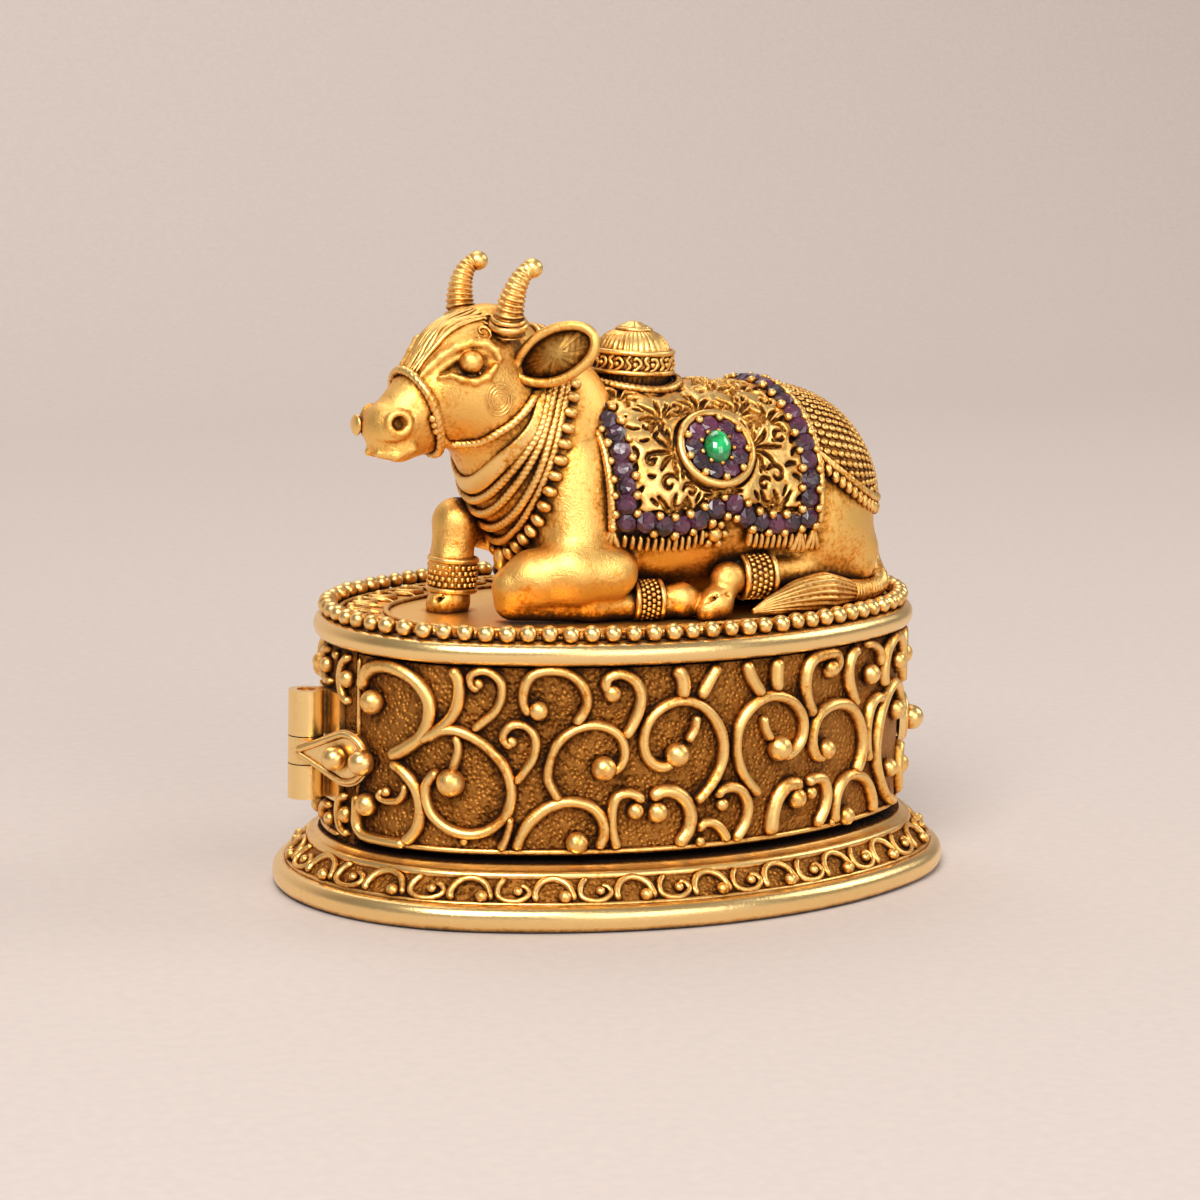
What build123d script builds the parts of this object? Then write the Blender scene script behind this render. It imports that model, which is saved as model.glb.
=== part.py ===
from build123d import *
from math import cos, radians, sin, sqrt, tau
import os

# An oval sindoor box with a reclining bull on its deck. Sizes are in mm. The origin is at the bottom
# centre of the foot. X runs along the box and the bull faces -X. The viewer's side is -Y. Z is up.

# Drum: a four-arc oval. Every other outline is this oval, grown or shrunk.
HALF_LENGTH = 26.6
HALF_WIDTH = 17.6
END_RADIUS = 14.0
WALL = 1.2
SEAM_Y = -2.7          # the drum's front and rear halves meet here
SEAM_GAP = 0.3

# Heights
RIM_TOP = 2.25
FOOT_TOP = 5.05
FRONT_WALL_BOTTOM = 5.7
FRONT_WALL_TOP = 21.45
DECK_BOTTOM = 21.7
DECK_TOP = 23.6

# How far each outline stands outside the drum's
RIM_GROW = 4.4
RIM_INNER_GROW = 3.2
FOOT_TOP_GROW = 0.5
FOOT_SHELL = 1.1
PLATE_THICKNESS = 0.8
BAND_GROW = 1.1

# Ring of beads on the deck
BEAD_DIAMETER = 1.55
BEAD_COUNT = 80
BEAD_LINE_GROW = -0.1
BEAD_SINK = 0.1

# Hinge at the left end of the drum
HINGE_X = -28.6
HINGE_Y = 2.6
KNUCKLE_RADIUS = 1.5
PIN_RADIUS = 0.8
PIN_CLEARANCE = 0.06
LOWER_KNUCKLE = (8.4, 11.35)
MIDDLE_KNUCKLE = (11.45, 13.75)
UPPER_KNUCKLE = (13.85, 17.7)
PIN_SPAN = (8.7, 17.2)
HINGE_PLATE = 0.5
HINGE_PLATE_Y = (-0.8, 5.8)
WEB_THICKNESS = 1.2

# Teardrop leaves
LEAF_Z = 12.6
LEAF_RADIUS = 2.4
LEAF_THICKNESS = 0.6
LEAF_DIRECTION = Vector(0.5, -0.866, 0)
LEAF_TIP = -0.6
LEAF_CENTRE = 5.1
LEAF_ROOT = 1.4
LEAF_ROOT_HALF = 1.0
TONGUE_GAP = 0.35
TONGUE_TIP_Y = 1.4
TONGUE_CENTRE_Y = -4.6
CATCH_Y = 2.7

# Powder tray
TRAY_WALL = 0.8
TRAY_CLEARANCE = 0.5
TRAY_BOTTOM = 6.0
TRAY_FLOOR = 0.9
TRAY_TOP = 20.9
HINGE_RELIEF = 6.8     # the tray is cut back by this radius round the hinge

# Trunk, neck and head in one run from rump to muzzle. Each section gives the centre's X and Z, the
# direction of the run there as X and Z, the half width and the half height.
RUMP = [
    (26.6, 30.4, -1.0, 0.0, 2.6, 2.6),
    (24.6, 31.4, -1.0, 0.0, 6.0, 6.4),
    (19.6, 32.6, -1.0, 0.0, 9.2, 9.4),
]
BARREL = [
    (14.2, 33.0, -1.0, 0.0, 10.0, 9.9),
    (9.0, 33.1, -1.0, 0.0, 10.1, 9.8),
    (4.0, 33.0, -1.0, 0.0, 9.9, 9.9),
    (-1.0, 33.1, -1.0, 0.0, 9.6, 10.2),
    (-5.0, 33.4, -1.0, 0.0, 8.9, 10.2),
]
NECK = [
    (-8.6, 36.4, -0.86, 0.50, 7.0, 8.6),
    (-11.2, 39.6, -0.82, 0.57, 5.6, 7.4),
    (-13.0, 42.6, -0.86, 0.50, 4.5, 6.2),
]
HEAD = [
    (-14.8, 44.2, -0.98, 0.17, 4.5, 5.6),
    (-17.4, 43.5, -0.90, -0.44, 4.7, 5.2),
    (-20.3, 41.8, -0.86, -0.51, 3.6, 4.0),
    (-22.8, 40.3, -0.86, -0.51, 2.9, 3.0),
    (-24.8, 39.3, -0.86, -0.51, 2.8, 2.5),
    (-26.2, 38.7, -0.86, -0.51, 1.8, 1.6),
]
HEAD_TURN = 6.0
HEAD_PIVOT_X = -12.0

# Limbs: X, Y, Z and radius at each joint
LIMBS = {
    "near_foreleg": [
        (1.2, -7.6, 30.4, 2.6),
        (-1.5, -7.6, 29.6, 4.2),
        (-7.5, -7.2, 28.0, 3.6),
        (-12.6, -5.0, 26.9, 2.7),
        (-14.4, -4.2, 26.4, 1.4),
    ],
    "near_foreshank": [
        (-12.4, -4.9, 25.3, 1.6),
        (-6.5, -6.6, 25.1, 1.5),
        (-2.6, -7.6, 25.0, 1.4),
        (1.4, -8.3, 24.8, 1.5),
    ],
    "far_foreleg": [
        (-5.0, 6.4, 29.2, 3.2),
        (-9.5, 5.2, 30.4, 3.0),
        (-13.2, 3.8, 31.5, 2.3),
        (-14.6, 3.3, 31.9, 1.2),
    ],
    "far_foreshank": [
        (-14.2, 3.3, 31.4, 1.9),
        (-14.7, 3.0, 27.8, 1.6),
        (-14.9, 2.7, 25.6, 1.6),
        (-15.4, 2.5, 23.6, 2.1),
    ],
    "tail": [
        (25.8, 0.4, 32.0, 0.8),
        (26.2, -1.2, 28.6, 1.0),
        (24.6, -3.8, 25.5, 1.0),
        (22.0, -7.2, 25.0, 0.95),
        (18.0, -10.0, 24.8, 1.0),
    ],
    "tail_tuft": [
        (18.2, -10.1, 24.8, 0.9),
        (14.4, -11.1, 25.3, 1.7),
        (10.4, -11.8, 25.1, 1.4),
        (6.6, -12.2, 24.3, 0.5),
    ],
}
# The hind legs are the same on both sides: their Y values are distances from the middle
HIND_LIMBS = {
    "thigh": [
        (14.0, 6.0, 31.6, 2.6),
        (16.5, 6.4, 31.0, 4.6),
        (19.0, 6.6, 28.6, 3.8),
        (20.4, 6.9, 26.6, 2.0),
    ],
    "hindshank": [
        (20.2, 7.2, 26.8, 1.8),
        (12.5, 8.5, 27.0, 1.5),
        (7.6, 9.2, 26.8, 1.5),
        (4.0, 9.8, 25.0, 1.6),
    ],
}
SIDES = {"near": -1, "far": 1}
# Anklets: middle, direction, radius and width
ANKLETS = [
    ((-14.8, 3.0, 27.0), (0, 0, 1), 2.1, 2.2),
    ((-0.4, -7.9, 24.95), (1, -0.17, 0), 1.8, 1.6),
    ((8.4, -9.05, 26.85), (1, -0.17, 0), 1.9, 2.2),
]

# Head furniture on the near side, before the head is turned: X, distance from the middle, Z
HORN = [(-13.4, 3.4, 48.4, 1.25), (-13.3, 3.9, 50.2, 1.05), (-12.3, 4.4, 52.0, 0.8), (-10.9, 4.5, 53.7, 0.55)]
HORN_BALL_RADIUS = 0.8
EAR_BASE = (-13.0, 3.6, 44.5)
EAR_TIP = (-8.2, 9.9, 48.6)
EAR_FACING = (-0.76, 0.65, 0.0)
EAR_HALF_WIDTH = 2.25
EAR_SHELL = 0.55
EAR_DEPTH = 1.8
EYE = (-16.9, 4.35, 45.8)
EYE_RADIUS = 0.85

# Hump pot: radius and height up its outside
POT_X = 1.0
POT_TILT = 4.0
POT_OUTLINE = [(1.6, 42.2), (3.2, 43.2), (3.6, 44.4), (3.6, 45.9), (2.9, 47.1), (1.5, 47.9), (1.4, 48.4)]
POT_RING_RADIUS = 3.4
POT_RING_Z = 43.0
POT_RING_WIRE = 0.4

# Saddle and rump cloths
CLOTH_GROW = 0.7
SADDLE_HEM_Z = 32.2
RUMP_CLOTH_GROW = 0.5
RUMP_HEM_START = (14.2, 0, 35.4)
RUMP_HEM_END = (26.6, 0, 31.2)
HEM_DROPS = 11
HEM_DROP_RADIUS = 0.5
HEM_LAST_X = 24.8
STONE_RADIUS = 0.87
STONE_STEP = 1.95
BORDER_X = (-4.1, 13.3)
BORDER_ANGLES = (-2.0, 52.0)
BORDER_BOTTOM_ANGLE = -2.0
BACK_BORDER_ANGLE = 86.0

# Medallion
MEDALLION_X = 4.3
MEDALLION_ANGLE = 33.0
MEDALLION_RADIUS = 3.3
MEDALLION_WIRE = 0.35
MEDALLION_STONES = 9
MEDALLION_STONE_LINE = 2.15
MEDALLION_STONE_RADIUS = 0.72
CABOCHON_RADIUS = 1.25

# Neck ornaments: place along the neck's sections, and thickness
NECK_BAND = (2.2, 0.55)
NECK_ROPES = {"neck_rope_upper": (1.85, 0.35), "neck_rope_middle": (1.55, 0.35), "neck_rope_lower": (1.25, 0.35)}
BELL_ROPE = (0.9, 0.35)
BELL_COUNT = 22
BRIDLE_X = -21.7
BRIDLE_Z = 40.9
BRIDLE_HALF_WIDTH = 3.4
BRIDLE_HALF_HEIGHT = 3.7
BRIDLE_WIRE = 0.35
BELL_RADIUS = 0.62

LEAF_BALLS = [(4.4, 1.05), (7.2, 1.15)]
CLASP_BALLS = [(-2.6, 1.05), (-5.6, 1.15)]
BALL_STAND = 0.6       # how far a ball's centre stands out, as a share of its radius
PAD_HEIGHT = 3.0
PAD_Y = (-6.4, -3.4)
CATCH_RADIUS = 0.5
RIM_ROUNDING = 0.42    # edge radius of a polished rim, as a share of its height

ROOM = 120.0           # larger than the whole box, for cutting blocks

os.makedirs("parts", exist_ok=True)


def save(name, part):
    """Label a finished piece and write it to its own file."""
    part.label = name
    export_step(part, f"parts/{name}.step")


def oval(grow, mode=Mode.ADD):
    """Draw the drum's oval, grown by this much, in the sketch being built."""
    side_radius = ((HALF_LENGTH - END_RADIUS) ** 2 + HALF_WIDTH**2 - END_RADIUS**2) / (
        2 * (HALF_WIDTH - END_RADIUS)
    )
    end_x = HALF_LENGTH - END_RADIUS
    side_y = side_radius - HALF_WIDTH
    reach = (side_radius + grow) / (side_radius - END_RADIUS)
    corner_x = end_x * reach
    corner_y = side_y * (reach - 1)
    top = HALF_WIDTH + grow
    end = HALF_LENGTH + grow
    with BuildLine() as outline:
        ThreePointArc((-corner_x, corner_y), (0, top), (corner_x, corner_y))
        ThreePointArc((corner_x, corner_y), (end, 0), (corner_x, -corner_y))
        ThreePointArc((corner_x, -corner_y), (0, -top), (-corner_x, -corner_y))
        ThreePointArc((-corner_x, -corner_y), (-end, 0), (-corner_x, corner_y))
    make_face(outline.edges(), mode=mode)


def keep_y(low, high):
    """Keep only the part of the sketch being built between these two Y values."""
    with Locations((0, (low + high) / 2)):
        Rectangle(ROOM, high - low, mode=Mode.INTERSECT)


def cut_at_deck():
    """Cut the part being built flat where it stands on the deck."""
    split(bisect_by=Plane.XY.offset(DECK_TOP), keep=Keep.TOP)


def round_run(joints):
    """Loft a round, tapering run through these joints in the part being built."""
    centres = [Vector(x, y, z) for x, y, z, radius in joints]
    sections = []
    for index, centre in enumerate(centres):
        before = centres[max(index - 1, 0)]
        after = centres[min(index + 1, len(centres) - 1)]
        with BuildSketch(Plane(origin=centre, z_dir=after - before)) as section:
            Circle(joints[index][3])
        sections.append(section.sketch)
    loft(sections)


def body_run(stations, grow=0.0):
    """Loft the bull's body through these stations, grown by this much, in the part being built."""
    sections = []
    for x, z, along_x, along_z, half_width, half_height in stations:
        turn = HEAD_TURN if x < HEAD_PIVOT_X else 0.0
        facing = Vector(along_x * cos(radians(turn)), along_x * sin(radians(turn)), along_z)
        across = Vector(-sin(radians(turn)), cos(radians(turn)), 0)
        with BuildSketch(Plane(origin=turned(x, 0, z), x_dir=across, z_dir=facing)) as section:
            Ellipse(half_width + grow, half_height + grow)
        sections.append(section.sketch)
    loft(sections)


def neck_place(position):
    """The plane and half sizes of the neck part way between its sections."""
    stations = [BARREL[-1]] + NECK
    first = int(position)
    share = position - first
    x, z, along_x, along_z, half_width, half_height = [
        a + (b - a) * share for a, b in zip(stations[first], stations[first + 1])
    ]
    return Plane(origin=(x, 0, z), x_dir=(0, 1, 0), z_dir=(along_x, 0, along_z)), half_width, half_height


def turned(x, y, z):
    """A point of the head, turned with it towards the viewer. Points of the trunk stay put."""
    angle = radians(HEAD_TURN if x < HEAD_PIVOT_X or y != 0 else 0)
    from_pivot = x - HEAD_PIVOT_X
    return Vector(
        HEAD_PIVOT_X + from_pivot * cos(angle) - y * sin(angle),
        from_pivot * sin(angle) + y * cos(angle),
        z,
    )


def barrel_point(x, angle, outwards=0.0):
    """A point on the barrel at this X, this angle above level on the viewer's side."""
    stations = sorted(RUMP + BARREL)
    for (ax, az, _, _, a_width, a_height), (bx, bz, _, _, b_width, b_height) in zip(stations, stations[1:]):
        if ax <= x <= bx:
            share = (x - ax) / (bx - ax)
            z = az + (bz - az) * share
            width = a_width + (b_width - a_width) * share + outwards
            height = a_height + (b_height - a_height) * share + outwards
    around = radians(angle)
    return Vector(x, -width * cos(around), z + height * sin(around))


def mirrored(point):
    """The same point on the far side."""
    return Vector(point.X, -point.Y, point.Z)


def outer_edges_of(ring, grow):
    """The level edges of this ring that lie on its outer outline."""
    found = []
    for edge in ring.edges():
        middle = edge @ 0.5
        on_side = abs(abs(middle.Y) - HALF_WIDTH - grow) < 0.01
        on_end = abs(abs(middle.X) - HALF_LENGTH - grow) < 0.01
        if edge.bounding_box().size.Z < 0.01 and (on_side or on_end):
            found.append(edge)
    return found


# Foot
with BuildPart() as foot_casting:
    with BuildSketch():
        oval(RIM_INNER_GROW)
    extrude(amount=RIM_TOP)
    with BuildSketch(Plane.XY.offset(RIM_TOP)):
        oval(RIM_INNER_GROW)
    with BuildSketch(Plane.XY.offset(FOOT_TOP)):
        oval(FOOT_TOP_GROW)
    loft()
    with BuildSketch():
        oval(RIM_INNER_GROW - FOOT_SHELL)
    extrude(amount=RIM_TOP - FOOT_SHELL / 2, mode=Mode.SUBTRACT)
    with BuildSketch(Plane.XY.offset(RIM_TOP - FOOT_SHELL / 2)):
        oval(RIM_INNER_GROW - FOOT_SHELL)
    with BuildSketch(Plane.XY.offset(FOOT_TOP - FOOT_SHELL)):
        oval(FOOT_TOP_GROW - FOOT_SHELL)
    loft(mode=Mode.SUBTRACT)
save("foot_casting", foot_casting.part)

with BuildPart() as foot_rim:
    with BuildSketch():
        oval(RIM_GROW)
        oval(RIM_INNER_GROW, mode=Mode.SUBTRACT)
    extrude(amount=RIM_TOP)
    fillet(outer_edges_of(foot_rim, RIM_GROW), radius=RIM_TOP * RIM_ROUNDING)
save("foot_rim", foot_rim.part)

with BuildPart() as bottom_plate:
    with BuildSketch():
        oval(RIM_INNER_GROW - FOOT_SHELL)
    extrude(amount=PLATE_THICKNESS)
save("bottom_plate", bottom_plate.part)

# Drum
with BuildPart() as rear_wall:
    with BuildSketch(Plane.XY.offset(FOOT_TOP)):
        oval(0)
        oval(-WALL, mode=Mode.SUBTRACT)
        keep_y(SEAM_Y + SEAM_GAP / 2, ROOM / 2)
    extrude(amount=DECK_BOTTOM - FOOT_TOP)
save("rear_wall", rear_wall.part)

with BuildPart() as front_wall:
    with BuildSketch(Plane.XY.offset(FRONT_WALL_BOTTOM)):
        oval(0)
        oval(-WALL, mode=Mode.SUBTRACT)
        keep_y(-ROOM / 2, SEAM_Y - SEAM_GAP / 2)
    extrude(amount=FRONT_WALL_TOP - FRONT_WALL_BOTTOM)
save("front_wall", front_wall.part)

with BuildPart() as deck_plate:
    with BuildSketch(Plane.XY.offset(DECK_BOTTOM)):
        oval(0)
    extrude(amount=DECK_TOP - DECK_BOTTOM)
save("deck_plate", deck_plate.part)

with BuildPart() as deck_band:
    with BuildSketch(Plane.XY.offset(DECK_BOTTOM)):
        oval(BAND_GROW)
        oval(0, mode=Mode.SUBTRACT)
    extrude(amount=DECK_TOP - DECK_BOTTOM)
    fillet(outer_edges_of(deck_band, BAND_GROW), radius=(DECK_TOP - DECK_BOTTOM) * RIM_ROUNDING)
save("deck_band", deck_band.part)

with BuildSketch() as bead_oval:
    oval(BEAD_LINE_GROW)
bead_line = bead_oval.face().outer_wire()
bead_height = DECK_TOP + BEAD_DIAMETER / 2 - BEAD_SINK
with BuildPart() as deck_beads:
    for index in range(BEAD_COUNT):
        with Locations((bead_line @ (index / BEAD_COUNT)) + Vector(0, 0, bead_height)):
            Sphere(BEAD_DIAMETER / 2)
save("deck_beads", deck_beads.part)


# Hinge
def knuckle(span, bore):
    """Add one rolled knuckle, with its bore, to the part being built."""
    height = span[1] - span[0]
    for radius, mode in ((KNUCKLE_RADIUS, Mode.ADD), (bore, Mode.SUBTRACT)):
        with Locations((HINGE_X, HINGE_Y, span[0])):
            Cylinder(radius, height, align=(Align.CENTER, Align.CENTER, Align.MIN), mode=mode)


# Each fixed knuckle has a web and a plate that hold it to the rear wall
for name, span in {"hinge_knuckle_lower": LOWER_KNUCKLE, "hinge_knuckle_upper": UPPER_KNUCKLE}.items():
    with BuildPart() as fixed_knuckle:
        with BuildSketch(Plane.XY.offset(span[0])):
            oval(HINGE_PLATE)
            keep_y(*HINGE_PLATE_Y)
            with Locations((-ROOM / 4, 0)):
                Rectangle(ROOM / 2, ROOM, mode=Mode.INTERSECT)
            with Locations((HINGE_X, HINGE_Y)):
                Rectangle(KNUCKLE_RADIUS + 1, WEB_THICKNESS, align=(Align.MIN, Align.CENTER))
            oval(0, mode=Mode.SUBTRACT)
        extrude(amount=span[1] - span[0])
        knuckle(span, PIN_RADIUS)
    save(name, fixed_knuckle.part)

with BuildPart() as hinge_pin:
    with Locations((HINGE_X, HINGE_Y, PIN_SPAN[0])):
        Cylinder(PIN_RADIUS, PIN_SPAN[1] - PIN_SPAN[0], align=(Align.CENTER, Align.CENTER, Align.MIN))
save("hinge_pin", hinge_pin.part)

leaf_normal = Vector(-LEAF_DIRECTION.Y, LEAF_DIRECTION.X, 0) * -1
leaf_origin = Vector(HINGE_X, HINGE_Y, LEAF_Z) + leaf_normal * KNUCKLE_RADIUS


def leaf_point(along, outwards=0.0):
    """A point on the hinge leaf's outer face, this far along it."""
    return leaf_origin + LEAF_DIRECTION * along + leaf_normal * outwards


def teardrop(tip, centre, radius):
    """Draw a teardrop along the sketch's X in the sketch being built."""
    reach = centre - tip
    along = radius**2 / reach
    across = radius * sqrt(1 - (radius / reach) ** 2)
    far = centre + radius
    with BuildLine() as outline:
        Line((tip, 0), (centre - along, across))
        ThreePointArc((centre - along, across), (far, 0), (centre - along, -across))
        Line((centre - along, -across), (tip, 0))
    make_face(outline.edges())


with BuildPart() as hinge_leaf:
    with BuildSketch(Plane(origin=leaf_origin, x_dir=LEAF_DIRECTION, z_dir=leaf_normal)):
        teardrop(LEAF_TIP, LEAF_CENTRE, LEAF_RADIUS)
        with Locations((0, 0)):
            Rectangle(LEAF_ROOT, 2 * LEAF_ROOT_HALF, align=(Align.MIN, Align.CENTER))
    extrude(amount=-LEAF_THICKNESS)
    knuckle(MIDDLE_KNUCKLE, PIN_RADIUS + PIN_CLEARANCE)
    add(front_wall.part, mode=Mode.SUBTRACT)
save("hinge_leaf", hinge_leaf.part)

with BuildPart() as leaf_balls:
    for along, radius in LEAF_BALLS:
        with Locations(leaf_point(along, radius * BALL_STAND)):
            Sphere(radius)
save("leaf_balls", leaf_balls.part)

# Clasp at the right end: a curved teardrop tongue that stands clear of the rear wall
with BuildPart() as clasp_tongue:
    with BuildSketch(Plane.XY.offset(FOOT_TOP)):
        oval(TONGUE_GAP + LEAF_THICKNESS)
        oval(TONGUE_GAP, mode=Mode.SUBTRACT)
        with Locations((ROOM / 4, 0)):
            Rectangle(ROOM / 2, ROOM, mode=Mode.INTERSECT)
    extrude(amount=DECK_BOTTOM - FOOT_TOP)
    with BuildSketch(Plane(origin=(0, 0, LEAF_Z), x_dir=(0, -1, 0), z_dir=(1, 0, 0))):
        teardrop(-TONGUE_TIP_Y, -TONGUE_CENTRE_Y, LEAF_RADIUS)
    extrude(amount=ROOM / 2, mode=Mode.INTERSECT)
    with BuildSketch(Plane.XY.offset(LEAF_Z - PAD_HEIGHT / 2)):
        oval(TONGUE_GAP)
        oval(0, mode=Mode.SUBTRACT)
        keep_y(*PAD_Y)
        with Locations((ROOM / 4, 0)):
            Rectangle(ROOM / 2, ROOM, mode=Mode.INTERSECT)
    extrude(amount=PAD_HEIGHT)
save("clasp_tongue", clasp_tongue.part)

with BuildPart() as clasp_balls:
    for y, radius in CLASP_BALLS:
        end_reach = END_RADIUS + TONGUE_GAP + LEAF_THICKNESS + radius * BALL_STAND
        with Locations((HALF_LENGTH - END_RADIUS + sqrt(end_reach**2 - y**2), y, LEAF_Z)):
            Sphere(radius)
save("clasp_balls", clasp_balls.part)

with BuildPart() as catch_bead:
    with Locations((HALF_LENGTH - END_RADIUS + sqrt(END_RADIUS**2 - CATCH_Y**2), CATCH_Y, LEAF_Z)):
        Sphere(CATCH_RADIUS)
save("catch_bead", catch_bead.part)

# Powder tray: an oval cup behind the front wall, cut back round the hinge
with BuildPart() as powder_tray:
    with BuildSketch(Plane.XY.offset(TRAY_BOTTOM)):
        oval(-WALL)
        keep_y(-ROOM / 2, SEAM_Y - SEAM_GAP / 2)
        oval(-WALL - TRAY_CLEARANCE)
        with Locations((HINGE_X, HINGE_Y)):
            Circle(HINGE_RELIEF, mode=Mode.SUBTRACT)
    extrude(amount=TRAY_TOP - TRAY_BOTTOM)
    with BuildSketch(Plane.XY.offset(TRAY_BOTTOM + TRAY_FLOOR)):
        oval(-WALL - TRAY_CLEARANCE - TRAY_WALL)
        with Locations((HINGE_X, HINGE_Y)):
            Circle(HINGE_RELIEF + TRAY_WALL, mode=Mode.SUBTRACT)
    extrude(amount=TRAY_TOP - TRAY_BOTTOM, mode=Mode.SUBTRACT)
save("powder_tray", powder_tray.part)

# Bull: trunk, neck and head
with BuildPart() as bull_casting:
    body_run(RUMP + BARREL + NECK + HEAD)
    cut_at_deck()
save("bull_casting", bull_casting.part)

limbs = dict(LIMBS)
for side_name, side in SIDES.items():
    for name, joints in HIND_LIMBS.items():
        limbs[f"{side_name}_{name}"] = [(x, side * y, z, radius) for x, y, z, radius in joints]
for name, joints in limbs.items():
    with BuildPart() as limb:
        round_run(joints)
        cut_at_deck()
    save(name, limb.part)

with BuildPart() as anklets:
    for spot, direction, radius, width in ANKLETS:
        with Locations(Plane(origin=spot, z_dir=direction)):
            Cylinder(radius, width)
    cut_at_deck()
save("anklets", anklets.part)

# Head furniture, the same on both sides of the head
for side_name, side in SIDES.items():
    with BuildPart() as horn:
        joints = [(*tuple(turned(x, side * y, z)), radius) for x, y, z, radius in HORN]
        round_run(joints)
        with Locations(joints[-1][:3]):
            Sphere(HORN_BALL_RADIUS)
    save(f"horn_{side_name}", horn.part)

    base = turned(EAR_BASE[0], side * EAR_BASE[1], EAR_BASE[2])
    tip = turned(EAR_TIP[0], side * EAR_TIP[1], EAR_TIP[2])
    along = tip - base
    facing = Vector(EAR_FACING[0], side * EAR_FACING[1], EAR_FACING[2])
    ear_plane = Plane(origin=(base + tip) / 2, x_dir=along, z_dir=along.cross(facing).cross(along))
    with BuildPart() as ear:
        for shell, depth, mode in ((0, EAR_DEPTH, Mode.ADD), (EAR_SHELL, EAR_DEPTH - EAR_SHELL, Mode.SUBTRACT)):
            with BuildSketch(ear_plane):
                Ellipse(along.length / 2 - shell, EAR_HALF_WIDTH - shell)
            with BuildSketch(ear_plane.offset(-depth)):
                Ellipse(along.length / 4 - shell, EAR_HALF_WIDTH / 2 - shell)
            loft(mode=mode)
    save(f"ear_{side_name}", ear.part)

with BuildPart() as eye_balls:
    for side in (-1, 1):
        with Locations(turned(EYE[0], side * EYE[1], EYE[2])):
            Sphere(EYE_RADIUS)
save("eye_balls", eye_balls.part)


def neck_ring(position, wire, outwards):
    """Add a ring of round wire round the neck to the part being built."""
    plane, half_width, half_height = neck_place(position)
    with BuildLine(plane) as path:
        EllipticalCenterArc((0, 0), half_width + outwards, half_height + outwards, arc_size=360)
    start = path.line @ 0
    with BuildSketch(Plane(origin=start, z_dir=path.line % 0)) as section:
        Circle(wire)
    sweep(section.sketch, path=path.line)


with BuildPart() as neck_band:
    neck_ring(NECK_BAND[0], NECK_BAND[1], 0)
save("neck_band", neck_band.part)

for name, (position, wire) in {**NECK_ROPES, "bell_rope": BELL_ROPE}.items():
    with BuildPart() as neck_rope:
        neck_ring(position, wire, wire / 2)
    save(name, neck_rope.part)

plane, half_width, half_height = neck_place(BELL_ROPE[0])
with BuildPart() as neck_bells:
    for index in range(BELL_COUNT):
        around = tau * (index + 0.5) / BELL_COUNT
        spot = plane.from_local_coords(
            ((half_width + BELL_RADIUS) * cos(around), (half_height + BELL_RADIUS) * sin(around), 0.4)
        )
        with Locations(spot):
            Sphere(BELL_RADIUS)
save("neck_bells", neck_bells.part)

with BuildPart() as bridle_rope:
    with BuildLine(Plane(origin=turned(BRIDLE_X, 0, BRIDLE_Z), x_dir=(0, 1, 0), z_dir=(-0.86, 0, -0.51))) as path:
        EllipticalCenterArc((0, 0), BRIDLE_HALF_WIDTH, BRIDLE_HALF_HEIGHT, arc_size=360)
    with BuildSketch(Plane(origin=path.line @ 0, z_dir=path.line % 0)) as section:
        Circle(BRIDLE_WIRE)
    sweep(section.sketch, path=path.line)
save("bridle_rope", bridle_rope.part)

# Hump pot
with BuildPart() as hump_pot:
    with BuildSketch(Plane.XZ):
        with BuildLine():
            Polyline((0, POT_OUTLINE[0][1]), *POT_OUTLINE, (0, POT_OUTLINE[-1][1]), close=True)
        make_face()
    revolve(axis=Axis.Z)
pot_place = Location((POT_X, 0, POT_OUTLINE[0][1]), (0, POT_TILT, 0)) * Location((0, 0, -POT_OUTLINE[0][1]))
save("hump_pot", hump_pot.part.moved(pot_place))

with BuildPart() as pot_ring:
    with Locations((0, 0, POT_RING_Z)):
        Torus(POT_RING_RADIUS, POT_RING_WIRE)
save("pot_ring", pot_ring.part.moved(pot_place))

# Cloths: thin shells over the barrel and the rump
with BuildPart() as barrel:
    body_run(BARREL)

with BuildPart() as saddle_cloth:
    body_run(BARREL, CLOTH_GROW)
    add(barrel.part, mode=Mode.SUBTRACT)
    split(bisect_by=Plane.XY.offset(SADDLE_HEM_Z), keep=Keep.TOP)
save("saddle_cloth", saddle_cloth.part)

with BuildPart() as rump:
    body_run(RUMP + BARREL[:1])

with BuildPart() as rump_cloth:
    body_run(RUMP + BARREL[:1], RUMP_CLOTH_GROW)
    add(rump.part, mode=Mode.SUBTRACT)
    hem_run = Vector(*RUMP_HEM_END) - Vector(*RUMP_HEM_START)
    hem = Plane(origin=RUMP_HEM_START, x_dir=hem_run, z_dir=hem_run.cross(Vector(0, 1, 0)))
    split(bisect_by=hem, keep=Keep.BOTTOM if hem.z_dir.Z < 0 else Keep.TOP)
save("rump_cloth", rump_cloth.part)

# Stones and prong balls along the borders of the saddle cloth
first_x, last_x = BORDER_X
bottom_count = round((last_x - first_x) / STONE_STEP)
border = [
    (first_x + (last_x - first_x) * index / bottom_count, BORDER_BOTTOM_ANGLE) for index in range(bottom_count + 1)
]
angle_step = STONE_STEP / 9.9 * 360 / tau
for x, top_angle in ((first_x, BORDER_ANGLES[1]), (last_x, BACK_BORDER_ANGLE)):
    angle = BORDER_ANGLES[0] + angle_step
    while angle < top_angle:
        border.append((x, angle))
        angle += angle_step

with BuildPart() as border_stones:
    for x, angle in border:
        spot = barrel_point(x, angle, CLOTH_GROW)
        with Locations(spot, mirrored(spot)):
            Sphere(STONE_RADIUS)
save("border_stones", border_stones.part)

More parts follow.
